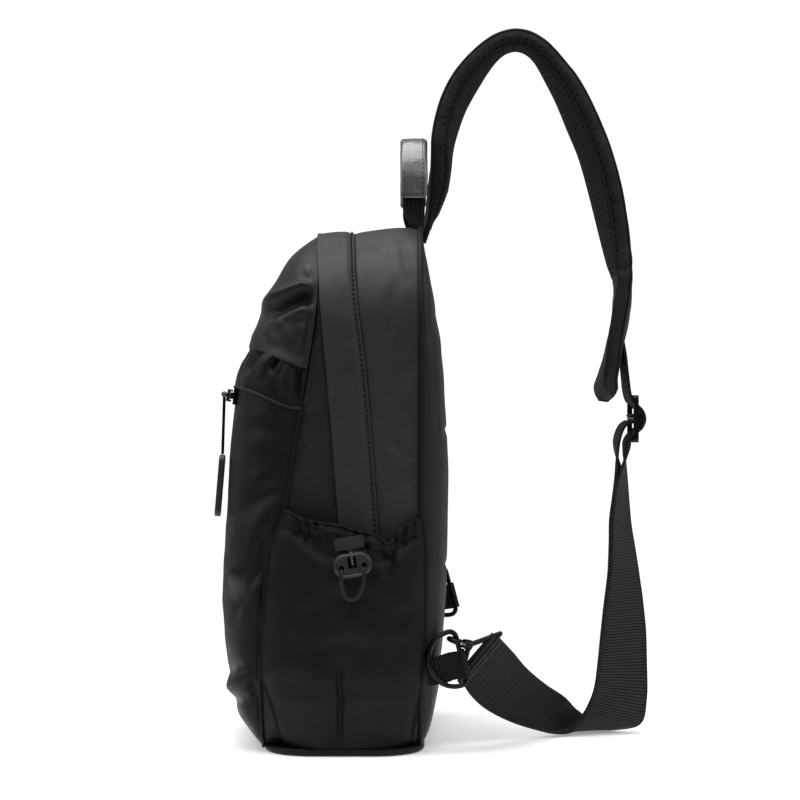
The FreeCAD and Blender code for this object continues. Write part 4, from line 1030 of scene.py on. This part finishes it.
# The grip's middle line as (x, z) points, from its right end over the top to its left end.
turn = np.linspace(0, math.pi / 2, 16)
bend = np.stack([HANDLE_FOOT - HANDLE_BEND + HANDLE_BEND * np.cos(turn),
                 HANDLE_TOP - HANDLE_BEND + HANDLE_BEND * np.sin(turn)], axis=1)
right = np.concatenate([[[HANDLE_FOOT, GRIP_LOW]], bend])
middle = spaced(np.concatenate([right, right[::-1] * [-1, 1]]), GRIP_ROWS)
along = unit(np.gradient(middle, axis=0))
outward = np.stack([along[:, 1], -along[:, 0]], axis=1)


def off_grip(across, out):
    """Points off the grip's middle line: across is towards the bag's back and out is away from the loop."""
    place = middle[:, None] + outward[:, None] * out[..., None]
    return np.stack([place[..., 0], HANDLE_Y + across, place[..., 1]], axis=-1)


# A rounded rectangle with slightly domed faces, drawn in a little at the grip's ends.
section = rounded_loop(GRIP_WIDTH / 2, 2.5, 2.1, 44)
dome = 0.35 * np.cos(np.clip(section[:, 0] / GRIP_WIDTH, -0.5, 0.5) * math.pi)
section[:, 1] += np.sign(section[:, 1]) * dome
size = (1 - 0.25 * bell(from_edge(GRIP_ROWS), 1.6))[:, None]
rings = off_grip(section[:, 0] * size, section[:, 1] * size)
rings += 0.6 * wrinkle(rings, 9, 0.35, 21)[..., None]
grip = sweep("handle_grip_leather", rings)
settle(grip, LEATHER, "handle", ("handle_grip",))

line = off_grip(np.full((GRIP_ROWS, 1), 5.4), np.full((GRIP_ROWS, 1), 2.65))[:, 0]
flat_out = np.stack([outward[:, 0], np.zeros(GRIP_ROWS), outward[:, 1]], axis=1)
grip_seam = stitches("grip_stitch", line, flat_out, 3.0, 2.2, 0.7)
settle(grip_seam, DARK_THREAD, "handle")

# The webbing feet widen, turn and straighten from the bag's seam up into the grip.
SEAM_Y = 42.4
web_pieces = []
for side in (-1, 1):
    height = np.linspace(303.0, 333.0, 30)[:, None]
    part = ease(303, 324, height)
    half = 3.2 + (6.6 - 3.2) * part
    twist = math.radians(38) * (1 - part)
    across = half * np.linspace(-1, 1, 14)
    buckle = 0.9 * np.cos(across / half * math.pi) * (1 - ease(303, 318, height))
    x = side * (37.6 - np.sin(twist) * across * 0.8 + buckle)
    y = SEAM_Y + (HANDLE_Y - SEAM_Y) * part + np.cos(twist) * across
    foot_grid = np.stack(np.broadcast_arrays(x, y, height), axis=-1)
    web_pieces.append(cloth_grid("foot", foot_grid, 2.0, flip=side < 0))
handle_web = joined("handle_webbing_feet", web_pieces)
settle(handle_web, WEBBING_BACK, None, ("handle_webbing",))
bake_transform(handle_web)

# ---------------------------------------------------------------- padded shoulder strap

STRAP_OUTER = [(44.6, 303), (46.5, 312), (49.2, 332), (50.2, 352), (50.6, 372), (54, 388), (59, 401),
               (68, 415), (81, 427), (90, 433), (102, 436), (115, 434), (126, 426), (136, 415),
               (145, 402), (154, 384), (161, 367), (167, 348), (171, 329), (174, 305), (175, 288),
               (174, 274), (171.5, 258), (168.5, 240), (167, 222), (161.5, 204)]
STRAP_INNER = [(42.4, 304), (47, 312), (53.5, 326), (59, 342), (62, 358), (65.5, 371), (71, 386),
               (81, 403), (89, 416), (96, 422), (103, 424), (110, 422), (118, 413), (123, 402),
               (129, 390), (136, 372), (143, 355), (150, 329), (156, 305), (160, 290), (163, 278),
               (164.5, 264), (162, 246), (157, 232), (152.5, 220), (152.5, 206)]
PAD_ROWS = 260
outer_line = smooth_curve(STRAP_OUTER, PAD_ROWS)
inner_line = smooth_curve(STRAP_INNER, PAD_ROWS)
PAD_HALF = 31.0
PAD_THICK = 9.0
PAD_SEAM_HEIGHT = 286.0
PAD_AROUND = 96


def strap_frame():
    """The pad's middle line as (y, z), the direction out of it, its thickness, half width and twist.
    The two outlines are the strap's edges as seen from the right, so each is moved to its own depth."""
    run = run_along((outer_line + inner_line) / 2)
    left = run[-1] - run
    tip = np.sqrt(np.clip(1 - ((PAD_HALF - np.minimum(left, PAD_HALF)) / PAD_HALF) ** 2, 0, 1))
    half = np.minimum(np.interp(run, [0, 22, 60, 70], [14, 22, 31, 31]), np.maximum(PAD_HALF * tip, 5.0))
    near = EYE_SPOT + (outer_line - EYE_SPOT) * (EYE_OUT - half[:, None]) / EYE_OUT
    far = EYE_SPOT + (inner_line - EYE_SPOT) * (EYE_OUT + half[:, None]) / EYE_OUT
    middle = (near + far) / 2
    along = unit(np.gradient(middle, axis=0))
    outward = np.stack([-along[:, 1], along[:, 0]], axis=1)
    seen = np.linalg.norm(outer_line - inner_line, axis=1)
    thick = np.minimum(PAD_THICK, np.maximum(seen, 3.0)) * np.sqrt(np.clip(left / 9.0, 0.12, 1))
    depth = ((near - far) * outward).sum(axis=1)
    twist = np.arcsin(np.clip((depth - thick) / (2 * half), -0.3, 0.3))
    twist = np.convolve(np.pad(twist, 8, mode="edge"), np.full(17, 1 / 17), mode="valid")
    return middle, outward, thick, half, twist


strap_middle, strap_out, strap_thick, strap_half, strap_twist = strap_frame()


def on_strap(index, across, out):
    """A point of the strap: across is sideways along X and out is away from the strap's middle surface."""
    turn = strap_twist[index]
    x = across * np.cos(turn)
    shift = across * np.sin(turn) + out
    return np.stack([x, strap_middle[index, 0] + strap_out[index, 0] * shift,
                     strap_middle[index, 1] + strap_out[index, 1] * shift], axis=-1)


def pad_bend(index):
    """The pad's half width and half thickness at a row, and the radius of its rounded edges there."""
    half, thick = strap_half[index], strap_thick[index] / 2
    return half, thick, min(thick * 0.8, half * 0.8)


def settle_strap_cloth(piece, material, stands_for=()):
    """Gives strap cloth its material and hides the CAD nodes it replaces; it is put in no body, and its place
    is baked into its points.
    """
    settle(piece, material, None, stands_for)
    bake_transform(piece)


pad_rings = np.zeros((PAD_ROWS, PAD_AROUND, 3))
for index in range(PAD_ROWS):
    half, thick, bend = pad_bend(index)
    loop = rounded_loop(half, thick, bend, PAD_AROUND)
    dome = 0.9 * np.cos(np.clip(loop[:, 0] / half, -1, 1) * math.pi / 2)
    pad_rings[index] = on_strap(index, loop[:, 0], loop[:, 1] + np.sign(loop[:, 1]) * dome)
# A seam across the pad's front leg, with the cloth puckered on both sides of it.
seam_gap = pad_rings.mean(1)[:, 2] - PAD_SEAM_HEIGHT
seam_gap[:PAD_ROWS // 2] = 99.0
groove = -1.3 * bell(seam_gap, 1.8) + 0.7 * bell(np.abs(seam_gap) - 5, 3.0)
pucker = wrinkle(pad_rings, 11, 0.5, 31) + wrinkle(pad_rings, 34, 0.8, 32) + groove[:, None]
pucker = pucker + wrinkle(pad_rings, 6, 0.9, 33) * bell(seam_gap, 9.0)[:, None]
pad_rings += unit(pad_rings - pad_rings.mean(1, keepdims=True)) * pucker[..., None]
strap_line_centre = pad_rings.mean(1)
pad = sweep("strap_pad_cloth", pad_rings)
settle_strap_cloth(pad, PAD, ("strap_pad_cover", "strap_pad_foam", "strap_neck"))

# Air mesh on the inner face, from the strap's root to just past the seam, with a sewn border.
MESH_START = 6
mesh_end = PAD_ROWS // 2 + int(np.argmax(strap_middle[PAD_ROWS // 2:, 1] < PAD_SEAM_HEIGHT - 4))
net_rows = []
for index in range(MESH_START, mesh_end):
    half = strap_half[index] - 3.0
    across = np.linspace(-half, half, 60)
    proud = 0.9 * ease(0, 8, min(index - MESH_START, mesh_end - index))
    dome = (0.9 + proud) * np.cos(across / strap_half[index] * math.pi / 2)
    net_rows.append(on_strap(index, across, -(strap_thick[index] / 2 + dome - 0.55 + proud)))
net_grid = np.array(net_rows)
net = cloth_grid("strap_air_mesh", net_grid, 1.2, flip=False)
settle_strap_cloth(net, NET, ("strap_pad_mesh",))


def pad_corner_line(corner, turn, first_row, last_row):
    """A line along the pad's surface: corner counts from the near outer edge round to the near inner edge,
    and turn, from 0 to 1, goes round that corner's bend."""
    line = []
    for index in range(first_row, last_row):
        half, thick, bend = pad_bend(index)
        flat_x, flat_out, arc = 2 * (half - bend), 2 * (thick - bend), bend * math.pi / 2
        girth = 2 * (flat_x + flat_out) + 4 * arc
        before = [0, arc + flat_x, 2 * arc + flat_x + flat_out, 3 * arc + 2 * flat_x + flat_out][corner]
        step = (before + turn * arc) / girth * PAD_AROUND
        low = int(step)
        part = step - low
        ring = pad_rings[index]
        line.append(ring[low % PAD_AROUND] * (1 - part) + ring[(low + 1) % PAD_AROUND] * part)
    return np.array(line)


eyelets = []
for corner in (2, 3):
    for count, turn in enumerate((0.12, 0.5, 0.88)):
        first_row, last_row = 12 + count % 2, mesh_end - 4
        line = pad_corner_line(corner, turn, first_row, last_row)
        core = strap_line_centre[first_row:last_row].copy()
        core[:, 0] = line[:, 0] * 0.9
        eyelets.append(stitches("eyelet", line, unit(line - core), 4.6, 3.8, 3.2, 2.65))
settle_strap_cloth(joined("air_mesh_eyelets", eyelets), DARK_THREAD)
beads = [tube("bead", line, 1.15, 8) for line in (net_grid[:, 0], net_grid[:, -1], net_grid[-1], net_grid[0])]
settle_strap_cloth(joined("air_mesh_border", beads), PAD)
edge_seams = [tube("seam", pad_corner_line(corner, 0.5, 4, PAD_ROWS - 4), 0.75, 6) for corner in (0, 1)]
settle_strap_cloth(joined("strap_edge_seams", edge_seams), WELT)

# ---------------------------------------------------------------- webbing

WEB_THICK = 1.3
WEB_HALF = 16.0
# The webbing's middle from inside the pad over the tri-glide's bar as (y, z), then its two edges down to the
# hook as (x, y, z), and the start of the layer that comes back up to the tri-glide.
UPPER_RUN = [(167, 283), (166.5, 270), (165.5, 258), (166.5, 246), (168.4, 233), (169.4, 221),
             (170.6, 211), (172.4, 205.5), (175.6, 202.2), (178.9, 199), (180.3, 194.5), (178.9, 190),
             (175.6, 186.8), (172.4, 183.5), (170.9, 180.5), (170.6, 178)]
NEAR_EDGE = [(16, 163.5, 156), (17, 160.5, 132), (17, 159.2, 100), (17, 155.5, 70),
             (17, 153, 45), (18, 150, 28), (18, 145.5, 16.5), (17.5, 140.5, 8.5), (17, 134.7, 3.6),
             (21, 124, 3.6), (30, 110, 7.9), (42, 95.5, 14.6), (55, 82, 23.5), (66, 73, 33), (73, 67.5, 42.5)]
FAR_EDGE = [(-14.5, 172, 156), (-12, 174, 132), (-8.5, 178.5, 100), (-1, 181.5, 70),
            (3, 182.5, 45), (5, 182.3, 22), (2.5, 179.3, 7), (-3, 168, 3.0), (-10, 154, 3.0),
            (-6, 141, 12), (8, 131.5, 22.5), (24, 119, 32.5), (42, 106.5, 44.5), (58, 97, 56.5), (73, 88, 67)]
NEAR_RETURN = [(15.5, 172.9, 191.9), (15.6, 169.4, 189.2), (15.7, 166.1, 181), (15.8, 164.4, 169)]
FAR_RETURN = [(-15.5, 172.9, 191.9), (-15.5, 169.4, 189.2), (-15.4, 166.3, 181), (-15.1, 168.2, 169)]


def ribbon_grid(near, far, low, rows, columns=26):
    """The face of a ribbon at some offset from its middle surface, and the way it faces."""
    both = smooth_curve(np.hstack([np.array(near, float), np.array(far, float)]), rows)
    near_line, far_line = both[:, None, :3], both[:, None, 3:]
    part = np.linspace(0, 1, columns)[:, None]
    along = np.gradient((near_line + far_line) / 2, axis=0)
    normal = unit(np.cross(near_line - far_line, along))
    return far_line + (near_line - far_line) * part + normal * low, normal


def ribbon(name, near, far, low, material, rows):
    """One layer of webbing, crowned a little across and softly uneven along."""
    grid, normal = ribbon_grid(near, far, low + WEB_THICK, rows)
    part = np.linspace(0, 1, grid.shape[1])
    crown = 0.25 * np.cos((part - 0.5) * math.pi) ** 0.5
    grid = grid + normal * (crown + wrinkle(grid, 30, 0.5, 41))[..., None]
    flip = (grid_normals(grid) * normal).sum() < 0
    piece = cloth_grid(name, grid, WEB_THICK + 0.2, flip)
    settle(piece, material, "strap")
    return piece, grid


upper_near = [(WEB_HALF, y, z) for y, z in UPPER_RUN]
upper_far = [(-WEB_HALF, y, z) for y, z in UPPER_RUN]
outer_web, outer_face = ribbon("webbing_outer_layer", upper_near + NEAR_EDGE, upper_far + FAR_EDGE,
                               0.1, WEBBING, 520)
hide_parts("strap_webbing")
inner_web, inner_face = ribbon("webbing_inner_layer", NEAR_RETURN + NEAR_EDGE, FAR_RETURN + FAR_EDGE,
                               -0.1 - WEB_THICK, WEBBING_BACK, 420)
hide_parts("strap_webbing_return")

# Selvedges: a thicker rolled edge down both sides of each layer.
edges = []
for face in (outer_face, inner_face):
    sunk = face - grid_normals(face) * 0.6
    edges += [tube("edge", sunk[:, column], 0.95, 8) for column in (0, -1)]
selvedge = joined("webbing_selvedges", edges)
settle(selvedge, WEBBING, "strap")


def bar_wrap(name, centre, bar, first, second, angles, radius, half, material):
    """A turn of webbing round a bar, between two angles that start at first and go towards second."""
    rows = []
    for angle in np.radians(np.linspace(*angles, 30)):
        spot = centre + (first * math.cos(angle) + second * math.sin(angle)) * radius
        rows.append(spot + bar * np.linspace(-half, half, 20)[:, None])
    wrap = cloth_grid(name, np.array(rows), 1.2, flip=True)
    settle(wrap, material, "strap")


bar_wrap("webbing_bar_loop", np.array([0, 175.3, 194.5]), *np.eye(3), (-150, 150), 3.1, 15.5, WEBBING_BACK)

hook_low, hook_high = np.array([74.5, 66.0, 42.0]), np.array([74.5, 89.5, 69.5])
bar_axis = unit(hook_high - hook_low)
bar_side = unit(np.cross(bar_axis, [1.0, 0, 0]))
bar_wrap("webbing_hook_loop", (hook_low + hook_high) / 2, bar_axis, np.cross(bar_axis, bar_side), bar_side,
         (20, 340), 3.0, 15.4, WEBBING)

# Bar tacks where the two layers are sewn together, near the hook.
tack_rows = []
for index in range(24, 42, 3):
    normal = grid_normals(outer_face)[-index, 2:3].repeat(60, 0)
    tack_rows.append(stitches("tack", spaced(outer_face[-index, 2:-2], 60), normal, 1.5, 1.2, 0.6))
tacks = joined("webbing_bar_tacks", tack_rows)
settle(tacks, THREAD, "strap")

# ---------------------------------------------------------------- rings' tabs

RING_UP = np.array([0, -0.25, 0.968]) / math.hypot(0.25, 0.968)
RING_BACK = np.array([0, -RING_UP[2], RING_UP[1]])
TAB_REACH = 21.5


def ring_tab(name, side, spot):
    """A strip of webbing that wraps the ring's straight side and lies doubled against the bag's flank."""
    outside = np.array([side, 0, 0])
    path = [RING_BACK * reach + outside * 2.1 for reach in np.linspace(TAB_REACH, 0, 24)]
    for turn in np.radians(np.linspace(90, -90, 22)):
        path.append((outside * math.sin(turn) - RING_BACK * math.cos(turn)) * 2.9)
    path += [RING_BACK * reach - outside * 1.1 for reach in np.linspace(0, TAB_REACH, 24)]
    across = np.linspace(0, 16, 16)[:, None]
    rows = []
    for index, step in enumerate(path):
        uneven = 0.25 * math.sin(index * 0.5)
        crown = outside * 0.15 * np.cos(across * 0.7)
        rows.append(spot + step + RING_UP * (across - 12 + uneven) + crown)
    rows = np.array(rows)
    bend_row = 35
    flip = (grid_normals(rows)[bend_row] * (rows[bend_row] - spot)).sum() < 0
    tab = cloth_grid("ring_tab_%s" % name, rows, 1.1, flip)
    settle(tab, TAB, "bag", ("webbing_tab_%s" % name,))


ring_tab("right", 1, np.array([83.0, 66.5, 57.0]))
ring_tab("left", -1, np.array([-83.0, 64.5, 81.0]))

# ---------------------------------------------------------------- hardware kept from the CAD

KEPT = {"cord_lock_body": LOCK, "cord_lock_button": LOCK,
        "ring_right": GUNMETAL, "ring_left": GUNMETAL, "tri_glide_frame": GUNMETAL, "tri_glide_bar": GUNMETAL,
        "hook_eye": GUNMETAL, "hook_swivel_pin": GUNMETAL, "hook_claw": GUNMETAL, "hook_gate": STEEL,
        "front_zipper_slider": GUNMETAL, "front_pull_link": GUNMETAL, "front_pull_tag": TAG,
        "main_zipper_slider": GUNMETAL, "main_zipper_pull": GUNMETAL, "main_zipper_chain": COIL,
        "base_board": BOARD}
for node, material in KEPT.items():
    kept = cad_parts[node]
    kept.data.materials.clear()
    kept.data.materials.append(material)
